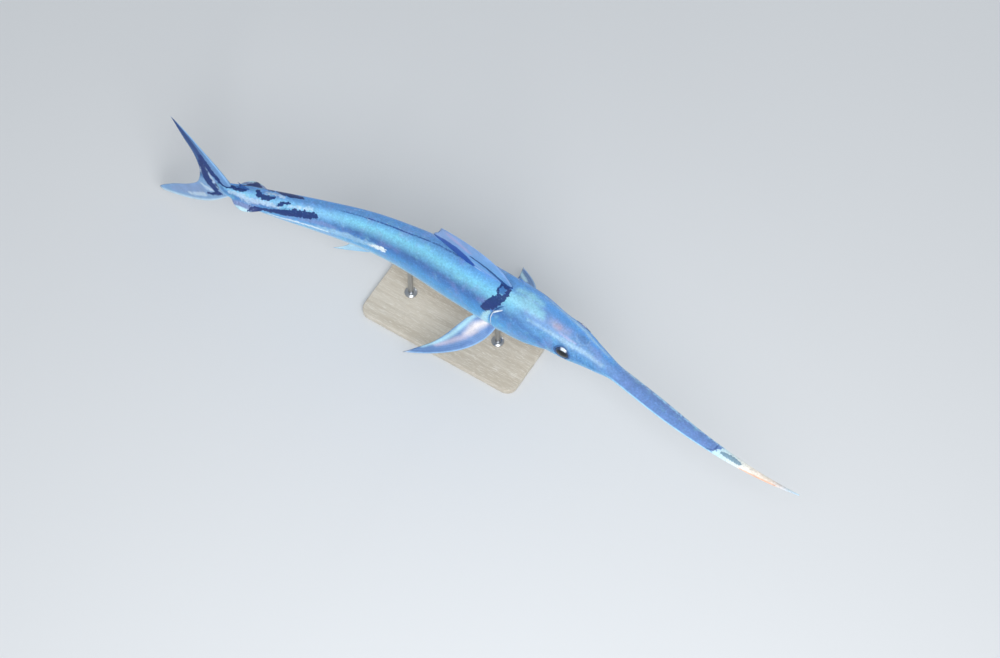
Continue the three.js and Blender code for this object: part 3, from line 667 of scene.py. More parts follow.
class Finish:
    """A material under construction."""

    def __init__(self, name: str) -> None:
        """Args:
            name: The material's name, which says what the real one is.
        """
        self.material = bpy.data.materials.new(name)
        self.material.use_nodes = True
        self.tree = self.material.node_tree
        self.place = self.add("place")

    def feed(self, node: bpy.types.Node, inputs: dict[str | int, Any]) -> None:
        """Args:
            node: A node of this material.
            inputs: For each of its inputs, by name or number, a value or the output that feeds it.
        """
        for name, value in inputs.items():
            if isinstance(value, bpy.types.NodeSocket):
                self.tree.links.new(value, node.inputs[name])
            else:
                node.inputs[name].default_value = value

    def add(self, kind: str, *values: Any, stops: Stops = (), **settings: Any) -> Any:
        """Args:
            kind: A name in KINDS, or what a Math node does.
            values: A value, or the output that feeds it, for each input in order.
            stops: A ramp's colours, each with its place.
            settings: The node's own properties.

        Returns:
            The output that this kind gives, or a list of all of them.
        """
        made_as = KINDS.get(kind, MATH)
        if made_as is MATH:
            settings["operation"] = kind
        made = self.tree.nodes.new(f"ShaderNode{made_as.type}")
        for name, value in (dict(made_as.settings) | settings).items():
            setattr(made, name, value)
        inputs = dict(made_as.inputs)
        inputs.update(zip(dict(made_as.inputs), values))
        self.feed(made, {name: value for name, value in inputs.items() if value is not None})
        for i, (place, code) in enumerate(stops):
            elements = made.color_ramp.elements
            stop = elements[i] if i < len(elements) else elements.new(place)
            stop.position, stop.color = place, srgb(code)
        return list(made.outputs) if made_as.output is None else made.outputs[made_as.output]

    def wandering(self, base: Any, noise: Any, reach: float) -> bpy.types.NodeSocket:
        """A number that a noise moves up and down by half of reach each way."""
        return self.add("MULTIPLY_ADD", self.add("SUBTRACT", noise, 0.5), reach, base)

    def tinted(self, under: Any, share: Any, strength: float, code: str) -> bpy.types.NodeSocket:
        """Lays a hex colour over another one where a share says so, at up to a strength."""
        return self.add("mix", self.add("MULTIPLY", share, strength), under, srgb(code))

    def painted(self, colour: Any, tints: Sequence[Tint]) -> bpy.types.NodeSocket:
        """Args:
            colour: The colour under the tints.
            tints: What is laid over it, from the attributes that hold their distances.

        Returns:
            The colour with all of them on it.
        """
        for i, tint in enumerate(tints):
            if i % 3 == 0:
                distances = self.add("split", self.add("attribute", attribute_name=f"Tint{i // 3}"))
            distance = distances[i % 3]
            if tint.ragged:
                ragged = self.add("noise", self.place, lumps(tint.lump), 2.0, 0.5)
                distance = self.wandering(distance, ragged, tint.ragged)
            share = self.add("fade", distance, tint.soft, -tint.soft)
            colour = self.tinted(colour, share, tint.strength, tint.colour)
        return colour

    def mottled(self, colour: Any, noise: Any, depth: float) -> bpy.types.NodeSocket:
        """Makes a colour lighter and darker with a noise, by up to about half of depth."""
        grey = self.add("grey", *[self.wandering(1.0, noise, depth)] * 3)
        return self.add("mix", 1.0, colour, grey, blend_type="MULTIPLY")

    def shade(self, inputs: dict[str, Any]) -> bpy.types.Material:
        """Fills the shader's sockets and gives the finished material."""
        self.feed(self.tree.nodes["Principled BSDF"], inputs)
        return self.material


# The silver of the lower flank and the belly, behind the head
SILVER = ((0.77, "#dbe6ee"), (1.0, "#eceff1"))


@dataclass(frozen=True)
class FishSkin:
    """Wet fish skin: bright and smooth over silvery cells, so it has a soft sheen and a thin wet gloss.

    Each row of stops runs from the middle of the back (0) to the middle of the belly (1). A range gives
    the numbers at which a colour is absent and at which it is full, and sizes are in mm. The grain is
    drawn coarser than the real skin's, so that it shows.
    """

    # The right and tail rows are light cyan high on the back: partly the skin's own band, partly a painted
    # sheen of light from above
    right: Stops = (
        (0.0, "#5f97d4"), (0.055, "#68aade"), (0.11, "#76c0ea"), (0.167, "#7eccea"), (0.22, "#76bada"),
        (0.275, "#5e9ac6"), (0.32, "#4474b0"), (0.38, "#3f77bb"), (0.43, "#458ccd"), (0.5, "#50a0dc"),
        (0.58, "#6cb4e6"), (0.67, "#acd4ec"), *SILVER,
    )
    tail: Stops = (
        (0.0, "#5b94d3"), (0.055, "#6aa5de"), (0.11, "#7dbeee"), (0.167, "#88c8f0"), (0.22, "#82c0ec"),
        (0.28, "#6aa4d8"), (0.34, "#5486c2"), (0.39, "#538cc8"), (0.45, "#5e9fdb"), (0.5, "#6cb0ea"),
        (0.58, "#7cbcec"), (0.67, "#b4d8ee"), *SILVER,
    )
    head: Stops = (
        (0.0, "#6c9ad8"), (0.08, "#6a98ce"), (0.17, "#6898d0"), (0.25, "#6496ce"), (0.31, "#629acf"),
        (0.37, "#5c98d0"), (0.43, "#4f8ac6"), (0.5, "#4e92cf"), (0.6, "#68ace0"), (0.7, "#a8cfe8"),
        (0.8, "#d6e3ec"), (1.0, "#eceff1"),
    )
    # The left row is a darker blue high on the back, partly a painted shade
    left: Stops = (
        (0.0, "#6098d8"), (0.06, "#629ee0"), (0.14, "#58a4f0"), (0.22, "#58a6f4"), (0.32, "#5eaaf2"),
        (0.42, "#68aeea"), (0.53, "#88c0ea"), (0.64, "#b8d8ec"), (0.76, "#dbe6ee"), (1.0, "#eceff1"),
    )
    tail_range: Range = (0.62, 0.72)
    head_range: Range = (0.27, 0.2)
    left_range: Range = (0.02, -0.16)
    bill_range: Range = (0.05, -0.04)
    tip_range: Range = (-0.2695, -0.2725)
    right_edge: Range = (0.91, 0.97)
    left_edge: Range = (-0.66, -0.78)
    bill_top: str = "#5f8eca"
    bill_streak: str = "#7a8cc8"
    bill_edge: str = "#a4dafa"
    bill_below: str = "#bcd2e8"
    bill_tip: Stops = (
        (0.0, "#b8dcf4"), (0.14, "#ccd8e2"), (0.24, "#dcd4d0"), (0.36, "#ecdfd2"), (0.5, "#f6ece0"),
        (0.62, "#f8f4ea"), (0.8, "#e2f2f6"), (1.0, "#c8ecfa"),
    )
    tip_length: float = 0.19
    cloud_size: float = 45.0
    grain_size: float = 4.5
    fine_size: float = 1.6
    wander: float = 0.07
    violet: str = "#a8a0dc"
    violet_size: float = 34.0
    violet_range: Range = (0.5, 0.72)
    green: str = "#9ce6dc"
    green_size: float = 24.0
    green_range: Range = (0.54, 0.74)
    patch_strength: float = 0.2
    keel_root: str = "#8499ca"
    keel_range: Range = (0.1, 0.4)
    sheen: str = "#c4ecfc"
    keel_edge: Range = (0.62, 0.85)
    eye_ring: str = "#274a86"
    eye_range: Range = (1.16, 0.98)
    roughness: float = 0.34
    grain_roughness: float = 0.16
    coat: float = 0.2

    def bill(self, f: Finish, station: Any, side: Any, back: Any, fish: Any) -> Any:
        """Paints the bill: dark above with pale edges, the left one broken, and a pale ragged tip.

        Args:
            f: The material.
            station: The station of each place on the skin.
            side: How far that place faces right.
            back: How far it faces up.
            fish: The fish's own colour.

        Returns:
            The colour with the bill on it.
        """
        streak = f.add("noise", f.place, lumps(14.0))
        top = f.tinted(srgb(self.bill_top), streak, 0.7, self.bill_streak)
        top = f.add("mix", f.add("fade", side, *self.right_edge), top, srgb(self.bill_edge))
        broken = f.add("fade", f.add("noise", f.place, lumps(9.0), 2.0), 0.38, 0.6)
        left_edge = f.add("MULTIPLY", broken, f.add("fade", side, *self.left_edge))
        top = f.tinted(top, left_edge, 0.75, self.bill_edge)
        bill = f.add("mix", f.add("fade", back, -0.15, -0.4), top, srgb(self.bill_below))
        fish = f.add("mix", f.add("fade", station, *self.bill_range), fish, bill)
        ragged = f.wandering(station, f.add("noise", f.place, lumps(6.0)), 0.02)
        ragged = f.add("MULTIPLY_ADD", side, -0.009, ragged)
        along = f.add("DIVIDE", f.add("SUBTRACT", station, TIP), self.tip_length)
        tip = f.add("ramp", along, stops=self.bill_tip)
        return f.add("mix", f.add("fade", ragged, *self.tip_range), fish, tip)

    def build(self) -> bpy.types.Material:
        """Returns:
            The skin's material, painted by the attributes Body, Form and Tint0 onwards.
        """
        f = Finish("wet fish skin")
        station, side, back = f.add("split", f.add("attribute", attribute_name="Body"))
        eye, keel, _ = f.add("split", f.add("attribute", attribute_name="Form"))
        cloud = f.add("noise", f.place, lumps(self.cloud_size), 4.0)
        grain = f.add("noise", f.place, lumps(self.grain_size), 2.0, 0.6)
        fine = f.add("noise", f.place, lumps(self.fine_size), 2.0)
        wander = f.wandering(f.add("DIVIDE", f.add("ARCCOSINE", back), math.pi), cloud, self.wander)
        right, tail, head, left = (
            f.add("ramp", wander, stops=stops) for stops in (self.right, self.tail, self.head, self.left)
        )
        fish = f.add("mix", f.add("fade", station, *self.tail_range), right, tail)
        fish = f.add("mix", f.add("fade", station, *self.head_range), fish, head)
        fish = f.add("mix", f.add("fade", side, *self.left_range), fish, left)
        fish = self.bill(f, station, side, back, fish)

        violet = f.add("fade", f.add("noise", f.place, lumps(self.violet_size)), *self.violet_range)
        violet = f.add("MULTIPLY", violet, f.add("fade", station, 0.0, 0.06))
        fish = f.tinted(fish, violet, self.patch_strength, self.violet)
        green = f.add("fade", f.add("noise", f.place, lumps(self.green_size)), *self.green_range)
        fish = f.tinted(fish, green, self.patch_strength, self.green)
        fish = f.add("mix", f.add("fade", keel, *self.keel_range), fish, srgb(self.keel_root))
        # Painted sheen along the keels' outer edges
        fish = f.add("mix", f.add("fade", keel, *self.keel_edge), fish, srgb(self.sheen))
        fish = f.tinted(fish, f.add("fade", eye, *self.eye_range), 0.7, self.eye_ring)
        fish = f.painted(fish, SKIN_TINTS)
        fish = f.mottled(f.mottled(fish, grain, 0.75), f.add("noise", f.place, lumps(16.0), 2.0), 0.35)
        # Painted sparkle: the palest grain is lightened a little with the sheen colour
        fish = f.tinted(fish, f.add("fade", grain, 0.6, 0.75), 0.1, self.sheen)

        pores = f.add("bump", grain, 0.2 * MM, 0.35, f.add("bump", cloud, 0.6 * MM, 0.5))
        return f.shade({
            "Base Color": fish,
            "Roughness": f.add("MULTIPLY_ADD", grain, self.grain_roughness, self.roughness),
            "IOR": 1.4,
            "Normal": f.add("bump", fine, 0.06 * MM, 0.35, pores),
            "Coat Weight": self.coat,
            "Coat Roughness": 0.22,
            "Coat IOR": 1.34,
        })


@dataclass(frozen=True)
class FinMembrane:
    """Fin membrane over bony rays: thin and satin, darker between the rays, paler along them.

    The bony rays are made of short segments, and their joints show as fine steps. Sizes are in mm.
    """

    name: str
    base: str
    margin: str
    ray: str
    lead: str
    rays: int
    lead_width: float = 0.06
    tints: tuple[Tint, ...] = ()
    segments: float = 46.0
    cloud_size: float = 30.0
    grain_size: float = 3.0

    def build(self) -> bpy.types.Material:
        """Returns:
            The fin's material, painted along the UV map Rays and the attributes Tint0 onwards.
        """
        f = Finish(self.name)
        across, along, _ = f.add("split", f.add("uv", uv_map="Rays"))
        cloud = f.add("noise", f.place, lumps(self.cloud_size), 4.0)
        grain = f.add("noise", f.place, lumps(self.grain_size), 2.0)
        colour = f.add("mix", f.add("fade", along, 0.25, 1.0), srgb(self.base), srgb(self.margin))
        lead = f.add("fade", across, self.lead_width, self.lead_width * 0.4)
        colour = f.add("mix", lead, colour, srgb(self.lead))
        wave = f.add("COSINE", f.add("MULTIPLY", across, 2.0 * math.pi * self.rays))
        ridge = f.add("MULTIPLY_ADD", wave, 0.5, 0.5)
        colour = f.painted(f.tinted(colour, ridge, 0.3, self.ray), self.tints)
        colour = f.mottled(f.mottled(colour, cloud, 0.5), grain, 0.35)
        steps = f.add("COSINE", f.add("MULTIPLY", along, 2.0 * math.pi * self.segments))
        joints = f.add("MULTIPLY", f.add("MULTIPLY", steps, ridge), 0.5)
        return f.shade({
            "Base Color": colour,
            "Roughness": f.add("MULTIPLY_ADD", grain, 0.15, 0.38),
            "IOR": 1.4,
            "Specular IOR Level": 0.25,
            "Normal": f.add("bump", joints, 0.12 * MM, 0.6, f.add("bump", grain, 0.1 * MM, 0.5)),
        })


@dataclass(frozen=True)
class EyeGlobe:
    """A glass eye as museums set them: a wide black pupil, a dark slate iris with a painted highlight in
    front, silvery white, and clear glass over both, so it has hard highlights."""

    stops: Stops = (
        (0.0, "#020308"), (0.4, "#04060c"), (0.45, "#1c2a44"), (0.58, "#34486a"), (0.72, "#24365a"),
        (0.82, "#0e1a32"), (1.0, "#0a1428"),
    )
    painted_highlight: str = "#e6eef6"
    highlight_turn: float = 1.4

    def build(self) -> bpy.types.Material:
        """Returns:
            The eye's material, painted by the attribute Iris.
        """
        f = Finish("glass eye with painted iris")
        radius, turn, _ = f.add("split", f.add("attribute", attribute_name="Iris"))
        fibres = f.add("noise", f.add("join", f.add("MULTIPLY", turn, 9.0), radius), 5.0, 3.0, 0.5)
        wander = f.wandering(radius, fibres, 0.05)
        colour = f.mottled(f.add("ramp", wander, stops=self.stops), fibres, 0.9)
        # A painted highlight: silvery white on the iris ring, strongest at the turn given above
        away = f.add("ABSOLUTE", f.add("SUBTRACT", turn, self.highlight_turn))
        ring = f.add("MULTIPLY", f.add("fade", wander, 0.42, 0.52), f.add("fade", wander, 0.86, 0.72))
        painted_highlight = f.add("MULTIPLY", ring, f.add("fade", away, 0.6, 0.25))
        return f.shade({
            "Base Color": f.add("mix", painted_highlight, colour, srgb(self.painted_highlight)),
            "Roughness": 0.35,
            "IOR": 1.5,
            "Specular IOR Level": 0.1,
            "Coat Weight": 0.6,
            "Coat Roughness": 0.02,
            "Coat IOR": 1.52,
        })


@dataclass(frozen=True)
class LimedOak:
    """Pale limed oak: its open pores are filled with white, so the grain shows as fine pale lines.

    Sizes are in mm, across the grain. The pores are drawn coarser than real ones, so that they show.
    """

    light: str = "#d9d2c4"
    dark: str = "#c3b9a8"
    pore: str = "#f0ece4"
    figure_size: float = 26.0
    line_size: float = 2.4
    pore_size: float = 1.1

    def build(self) -> bpy.types.Material:
        """Returns:
            The wood's material, with its grain along X.
        """
        f = Finish("limed oak")
        long_grain, short_grain = (f.add("stretch", f.place, (along, 1.0, 1.0)) for along in (0.05, 0.07))
        figure = f.add("noise", long_grain, lumps(self.figure_size), 5.0, 0.6)
        lines = f.add("noise", long_grain, lumps(self.line_size), 3.0, 0.65)
        pores = f.add("fade", f.add("noise", short_grain, lumps(self.pore_size), 2.0), 0.54, 0.66)
        colour = f.add("mix", f.add("fade", figure, 0.3, 0.7), srgb(self.light), srgb(self.dark))
        return f.shade({
            "Base Color": f.tinted(f.mottled(colour, lines, 0.3), pores, 0.6, self.pore),
            "Roughness": f.add("MULTIPLY_ADD", lines, 0.15, 0.42),
            "IOR": 1.5,
            "Coat Weight": 0.1,
            "Coat Roughness": 0.3,
        })


@dataclass(frozen=True)
class BrushedSteel:
    """Brushed stainless steel rod: fine rings from the lathe cloth draw its highlights out lengthwise.

    Sizes are in mm. The rings are drawn coarser than real scratches, so that they show.
    """

    colour: str = "#b9bcc0"
    dull: str = "#8f9398"
    ring_size: float = 0.35
    smear_size: float = 30.0

    def build(self) -> bpy.types.Material:
        """Returns:
            The steel's material, with its scratches round the rod.
        """
        f = Finish("brushed stainless steel")
        rings = f.add("noise", f.add("stretch", f.place, (0.04, 0.04, 1.0)), lumps(self.ring_size), 2.0)
        smear = f.add("noise", f.place, lumps(self.smear_size), 2.0)
        return f.shade({
            "Base Color": f.tinted(srgb(self.colour), rings, 0.5, self.dull),
            "Metallic": 1.0,
            "Roughness": f.add("MULTIPLY_ADD", smear, 0.14, 0.24),
            "Normal": f.add("bump", rings, 0.05 * MM, 0.5),
        })


@dataclass(frozen=True)
class StudioFloor:
    """A matt painted floor, pale and even, so that it only takes soft shadows."""

    colour: str = "#e0e3e6"
    worn: str = "#d6dade"
    worn_size: float = 600.0

    def build(self) -> bpy.types.Material:
        """Returns:
            The floor's material.
        """
        f = Finish("matt pale floor paint")
        wear = f.add("noise", f.place, lumps(self.worn_size), 2.0)
        colour = f.tinted(srgb(self.colour), wear, 0.12, self.worn)
        return f.shade({"Base Color": colour, "Roughness": 0.85})


def make_object(
    name: str,
    mesh_maker: bmesh.types.BMesh,
    material: bpy.types.Material,
    smooth: bool = True,
) -> bpy.types.Object:
    """Args:
        name: The piece's name.
        mesh_maker: The bmesh that holds its shape, which is freed.
        material: What it is made of.
        smooth: Whether its faces are shaded as one curved surface.

    Returns:
        The new object, in the scene.
    """
    mesh = bpy.data.meshes.new(name)
    for face in mesh_maker.faces:
        face.smooth = smooth
    mesh_maker.to_mesh(mesh)
    mesh_maker.free()
    mesh.materials.append(material)
    made = bpy.data.objects.new(name, mesh)
    bpy.context.scene.collection.objects.link(made)
    return made


def dress(piece: bpy.types.Object, slot: str, *nodes: str) -> bpy.types.Object:
    """Args:
        piece: A finished piece.
        slot: The material slot of the record for this piece; it is not used.
        nodes: The solids that it stands for.

    Returns:
        The same piece, riding on the part.
    """
    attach(piece, BODY_NAME)
    if nodes:
        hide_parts(*nodes)
    triangles = sum(len(p.vertices) - 2 for p in piece.data.polygons)
    log.info("%s: %d triangles, stands for %s", piece.name, triangles, ", ".join(nodes) or "nothing")
    return piece


def shaped_grid(
    points: Array, layers: dict[str, Array], uv_name: str, uv: Array,
) -> bmesh.types.BMesh:
    """Carries a flat grid to a curved surface, welds its meeting edges and points its faces outward.

    Args:
        points: The place of each vertex, as [column, row, xyz].
        layers: Vertex attributes by name, each as [column, row, three numbers].
        uv_name: The name of the UV map.
        uv: The UV of each vertex, as [column, row, two numbers].

    Returns:
        The finished bmesh.
    """
    columns, rows = points.shape[0] - 1, points.shape[1] - 1
    bm = bmesh.new()
    bmesh.ops.create_grid(bm, x_segments=columns, y_segments=rows, size=0.5)
    uv_layer = bm.loops.layers.uv.new(uv_name)
    held = {name: bm.verts.layers.float_vector.new(name) for name in layers}
    cells = {v: (round((v.co.x + 0.5) * columns), round((v.co.y + 0.5) * rows)) for v in bm.verts}
    for face in bm.faces:
        for loop in face.loops:
            loop[uv_layer].uv = uv[cells[loop.vert]]
    for vertex, cell in cells.items():
        vertex.co = points[cell]
        for name, values in layers.items():
            vertex[held[name]] = values[cell]
    bmesh.ops.remove_doubles(bm, verts=bm.verts, dist=WELD)
    bmesh.ops.dissolve_degenerate(bm, dist=WELD / 2.0, edges=bm.edges)
    bmesh.ops.recalc_face_normals(bm, faces=bm.faces)
    return bm


@dataclass
class Skin:
    """One seamless skin over the bill, head, jaw, gill covers, trunk, tail stock and keels.

    Each run is the first ring's station, the last one's and their number. The crowding is how many more
    rows there are at an angle round the body, that angle, and how far to each side.
    """

    shape: BodyShape
    sides: int = 142
    runs: tuple[tuple[float, float, int], ...] = (
        (TIP + 0.004, -0.03, 88), (-0.0288, 0.06, 78), (0.061, 0.165, 110), (0.1663, 0.242, 56),
        (0.2428, 0.2592, 30), (0.2606, 0.31, 36), (0.3142, 0.7, 90), (0.7022, TAIL_END - 0.003, 124),
    )
    crowding: Triple = (1.5, 101.0, 26.0)
    tip_radius: float = 1.4 * MM
    mouth_row: float = 121.0
    mouth_lowest: float = 152.0
    mouth_spread: float = 56.0
    end_round: float = 13.0 * MM
    end_thin: float = 0.62
    keel_reach: float = 18.0 * MM
    no_eye: float = 9.0
    nodes: tuple[str, ...] = (
        "bill", "head", "lower_jaw", "gill_cover_left", "gill_cover_right", "trunk_front",
        "trunk_middle", "trunk_rear", "caudal_peduncle", "keel_left", "keel_right",
    )

    def rings(self) -> Array:
        """Returns:
            The rings' stations, closest together on the head, at the gill edge and at both ends.
        """
        rounded = self.tip_radius * (1.0 - np.cos(np.linspace(0.0, math.pi / 2.0, 6))) / FORK_LENGTH
        between = [np.linspace(*run) for run in self.runs]
        return np.concatenate([TIP + rounded, *between, TAIL_END - rounded[::-1]])

    def rows(self) -> Array:
        """Returns:
            The rows' angles from belly to belly, closest together low on the flanks.
        """
        angles = np.linspace(0.0, 180.0, 721)
        density = 1.0 + fold(angles, *self.crowding)
        share = np.concatenate([[0.0], np.cumsum((density[1:] + density[:-1]) / 2.0)])
        half = np.interp(np.linspace(0.0, 1.0, self.sides // 2 + 1), share / share[-1], angles)
        return np.concatenate([-half[::-1], half[1:]])

    def angles_at(self, straight: Array, row: Array) -> Array:
        """Bends the rows on the jaw so that one of them follows the line of the mouth.

        Args:
            straight: The station of each vertex's ring.
            row: The angle of its row.

        Returns:
            Its own angle round the body.
        """
        drop = self.shape.drop(straight) * FORK_LENGTH
        share = np.clip(-mouth_height(straight) / drop, 0.0, 0.94)
        target = 90.0 + np.degrees(np.arcsin(share ** (self.shape.fullness(straight) / 2.0)))
        shift = np.minimum(target, self.mouth_lowest) - self.mouth_row
        shift *= tube(straight, MOUTH_TIP, MOUTH_CORNER, 0.04)
        off = np.clip(np.abs(np.abs(row) - self.mouth_row) / self.mouth_spread, 0.0, 1.0)
        return row + np.sign(row) * shift * (0.5 + 0.5 * np.cos(math.pi * off))

    def bent(self, straight: Array, around: Array) -> Array:
        """Bends the rings near the gill edge to follow it, and rounds the flesh's end on the tail fin.

        Args:
            straight: The station of each vertex's ring.
            around: Its angle round the body.

        Returns:
            Its own station.
        """
        fade = 1.0 - smoothstep(0.0, GILL_FADE, np.abs(straight - GILL_MIDDLE))
        corner = np.cos(np.radians(around)) ** 2 * self.end_round / FORK_LENGTH
        ahead = corner * smoothstep(TAIL_END - 0.05, TAIL_END, straight)
        return straight + (gill_edge(around) - GILL_MIDDLE) * fade - ahead

    def closing(self, straight: Array) -> Array:
        """How wide each ring is, as a share: the two end rings close to a point."""
        inward = np.minimum(straight - TIP, TAIL_END - straight) * FORK_LENGTH / self.tip_radius
        return np.sqrt(1.0 - (1.0 - np.clip(inward, 0.0, 1.0)) ** 2)

    def thinning(self, straight: Array) -> Array:
        """How wide each ring is across, as a share: the flesh thins out into the tail fin."""
        return 1.0 - self.end_thin * smoothstep(TAIL_END - 0.032, TAIL_END - 0.002, straight)

    def on_skin(self, place: float, turn: float) -> Point:
        """A mark's station and angle, as lengths along and round the body."""
        return place * FORK_LENGTH, self.shape.girth(place, turn)

    def paint(self, relief: SkinRelief) -> dict[str, Array]:
        """Args:
            relief: The skin's details, with every vertex's station and angle as [ring, row].

        Returns:
            The attributes that the skin's material reads.
        """
        lateral, height = self.shape.section(relief.station, relief.around)
        steps = np.hypot(np.diff(lateral, axis=1), np.diff(height, axis=1))
        arc = np.concatenate([np.zeros((len(steps), 1)), np.cumsum(steps, axis=1)], axis=1)
        arc -= arc[:, [self.sides // 2]]
        angle = np.radians(relief.around)
        eye = np.where(relief.sideways > 0.4, relief.eye_radius(), self.no_eye)
        keel = relief.keel() / self.keel_reach
        return {
            "Body": np.stack([relief.station, np.sin(angle), np.cos(angle)], -1),
            "Form": np.stack([eye, keel, np.zeros_like(keel)], -1),
            **tint_layers(SKIN_TINTS, relief.station * FORK_LENGTH, arc, self.on_skin),
        }

    def build(self) -> bpy.types.Object:
        """Returns:
            The finished skin.
        """
        straight, row = np.meshgrid(self.rings(), self.rows(), indexing="ij")
        around = self.angles_at(straight, row)
        relief = SkinRelief(self.shape, self.bent(straight, around), around)
        lateral, height = self.shape.section(relief.station, around, relief.lift())
        closing = self.closing(straight)
        across = lateral * closing * self.thinning(straight)
        points = self.shape.backbone.beside(relief.station, across, height * closing)
        uv = np.stack([(relief.station - TIP) / (TAIL_END - TIP), row / 360.0 + 0.5], -1)
        bm = shaped_grid(points, self.paint(relief), "Flow", uv)
        return dress(make_object("skin", bm, FishSkin().build()), "skin", *self.nodes)


def there_and_back(front: Array, back: Array) -> Array:
    """One face's values, followed by the other face's from the margin back to the root."""
    return np.concatenate([front, back[:, -2::-1]], axis=1)


@dataclass
class RayFin:
    """A fin as a closed sheet of rays, from a root outline to an edge outline."""

    name: str
    finish: FinMembrane
    root: tuple[Point, ...]
    edge: tuple[Point, ...]
    bow: float
    thickness: float
    rows: int = 44
    per_ray: int = 6
    ridge: float = 0.42 * MM
    membrane: float = 0.5 * MM
    fray: float = 1.6 * MM

    def flat(self, u: Array, v: Array) -> Array:
        """Args:
            u: Shares across the fin, 0 at its leading edge.
            v: Shares along its rays, 0 at the root.

        Returns:
            The points in the fin's own plane, in metres, as [u, v, two numbers].
        """
        start = along_outline(self.root, u)[:, None, :]
        end = along_outline(self.edge, u)[:, None, :]
        chord = end - start
        normal = np.stack([-chord[..., 1], chord[..., 0]], -1)
        control = (start + end) / 2.0 + normal * self.bow * (1.0 - u)[:, None, None]
        w = v[None, :, None]
        bowed = (1 - w) ** 2 * start + 2 * (1 - w) * w * control + w**2 * end
        notch = 0.5 - 0.5 * np.cos(2.0 * math.pi * self.finish.rays * u)[:, None, None]
        inward = chord / np.linalg.norm(chord, axis=-1, keepdims=True) * self.fray / FORK_LENGTH
        return (bowed - inward * notch * w**12) * FORK_LENGTH

    def half_thickness(self, u: Array, v: Array) -> Array:
        """Args:
            u: Shares across the fin, 0 at its leading edge.
            v: Shares along its rays, 0 at the root.

        Returns:
            Half the fin's thickness, as [u, v]. All its edges are round, and the rays fork near the margin.
        """
        u, v = u[:, None], v[None, :]
        rays = self.finish.rays
        whole, forked = (0.5 + 0.5 * np.cos(turns * math.pi * rays * u) for turns in (2.0, 4.0))
        fork = smoothstep(0.45, 0.75, v)
        ray = (whole * (1.0 - fork) + forked * fork * 0.7) ** 1.5
        blade = np.minimum(0.3 + 7.0 * u, 1.0) * (1.0 - 0.75 * u)
        half = self.thickness / 2.0 * (1.0 - v) ** 1.2 * blade
        half = half + self.membrane / 2.0 * (1.0 - 0.5 * v) + ray * self.ridge * (1.0 - 0.75 * v)
        across = (u * rays * 1.4, (1.0 - u) * rays * 2.0)
        for inward in (*across, v * self.rows / 1.2, (1.0 - v) * self.rows / 1.5):
            half = half * np.sqrt(np.clip(inward, 0.0, 1.0))
        return half

    def build(self, place: Place) -> bpy.types.Object:
        """Args:
            place: Puts the plane's two coordinates in space.

        Returns:
            The finished fin.
        """
        u = np.linspace(0.0, 1.0, self.finish.rays * self.per_ray + 1)
        v = np.linspace(0.0, 1.0, self.rows + 1) ** 0.93
        flat = self.flat(u, v)
        middle = place(flat[..., 0], flat[..., 1])
        normal = np.cross(np.gradient(middle, axis=0), np.gradient(middle, axis=1))
        normal /= np.maximum(np.linalg.norm(normal, axis=-1, keepdims=True), 1e-12)
        out = normal * self.half_thickness(u, v)[..., None]
        uv = np.stack(np.broadcast_arrays(u[:, None], v[None, :]), -1)
        layers = tint_layers(
            self.finish.tints, flat[..., 0], flat[..., 1], lambda a, b: (a * FORK_LENGTH, b * FORK_LENGTH),
        )
        layers = {name: there_and_back(values, values) for name, values in layers.items()}
        bm = shaped_grid(there_and_back(middle + out, middle - out), layers, "Rays", there_and_back(uv, uv))
        return dress(make_object(self.name, bm, self.finish.build()), "fin", self.name)


NAVY = "#0e3078"
# What both tail lobes wear where they meet, so that they look like one fin
TAIL_MIDDLE = Tint("#5f8fcb", (Mark(((1.01, 0.0, 5), (0.94, 0.0, 5))),), 0.92, 9.0, 3.0, 9.0)

FIRST_DORSAL = RayFin(
    name="dorsal_fin_first",
    finish=FinMembrane("dorsal fin membrane", "#6ea4e0", "#8ba6da", "#90bcec", "#7ca4dc", 36, tints=(
        Tint("#8cc6f0", (Mark(((0.29, 0.1, 8), (0.308, 0.112, 9), (0.325, 0.12, 7))),), 0.6, 7.0, 6.0, 12.0),
        Tint("#9cbce8", (Mark(((0.295, 0.078, 4), (0.325, 0.088, 6), (0.355, 0.1, 6))),),
             0.6, 4.0, 5.0, 10.0),
        Tint("#c2a8d0", (Mark(((0.36, 0.15, 7), (0.385, 0.17, 9), (0.405, 0.186, 7))),),
             0.5, 9.0, 8.0, 14.0),
        Tint("#e0f2ff", (Mark(((0.325, 0.074, 1.6), (0.345, 0.078, 2.2), (0.37, 0.081, 1.6))),),
             0.8, 2.0, 4.0),
        Tint("#133a84", (Mark((
            (0.262, 0.07, 9), (0.281, 0.083, 8.5), (0.303, 0.103, 7.5), (0.322, 0.116, 6.5),
            (0.334, 0.122, 5.6), (0.358, 0.129, 4.0))),), 0.9, 1.6, 5.0, 6.0),
        Tint("#1442a4", (Mark((
            (0.368, 0.088, 16), (0.385, 0.103, 23), (0.4, 0.115, 25), (0.42, 0.123, 21), (0.438, 0.13, 12),
            (0.45, 0.134, 5))),), 0.9, 3.0, 8.0),
    )),
    root=((0.262, 0.064), (0.32, 0.067), (0.378, 0.066)),
    edge=((0.42, 0.204), (0.433, 0.168), (0.448, 0.136), (0.42, 0.105), (0.387, 0.08)),
    bow=0.5, thickness=8 * MM, per_ray=4, rows=50,
)
SECOND_DORSAL = RayFin(
    name="dorsal_fin_second",
    finish=FinMembrane("small dorsal fin membrane", "#2d5a9e", "#284f90", "#5a8aca", "#2d5a9e", 9),
    root=((0.868, 0.021), (0.883, 0.018), (0.898, 0.015)),
    edge=((0.905, 0.044), (0.899, 0.034), (0.901, 0.028), (0.912, 0.026)),
    bow=0.08, thickness=3 * MM, rows=20, ridge=0.25 * MM, fray=0.8 * MM,
)
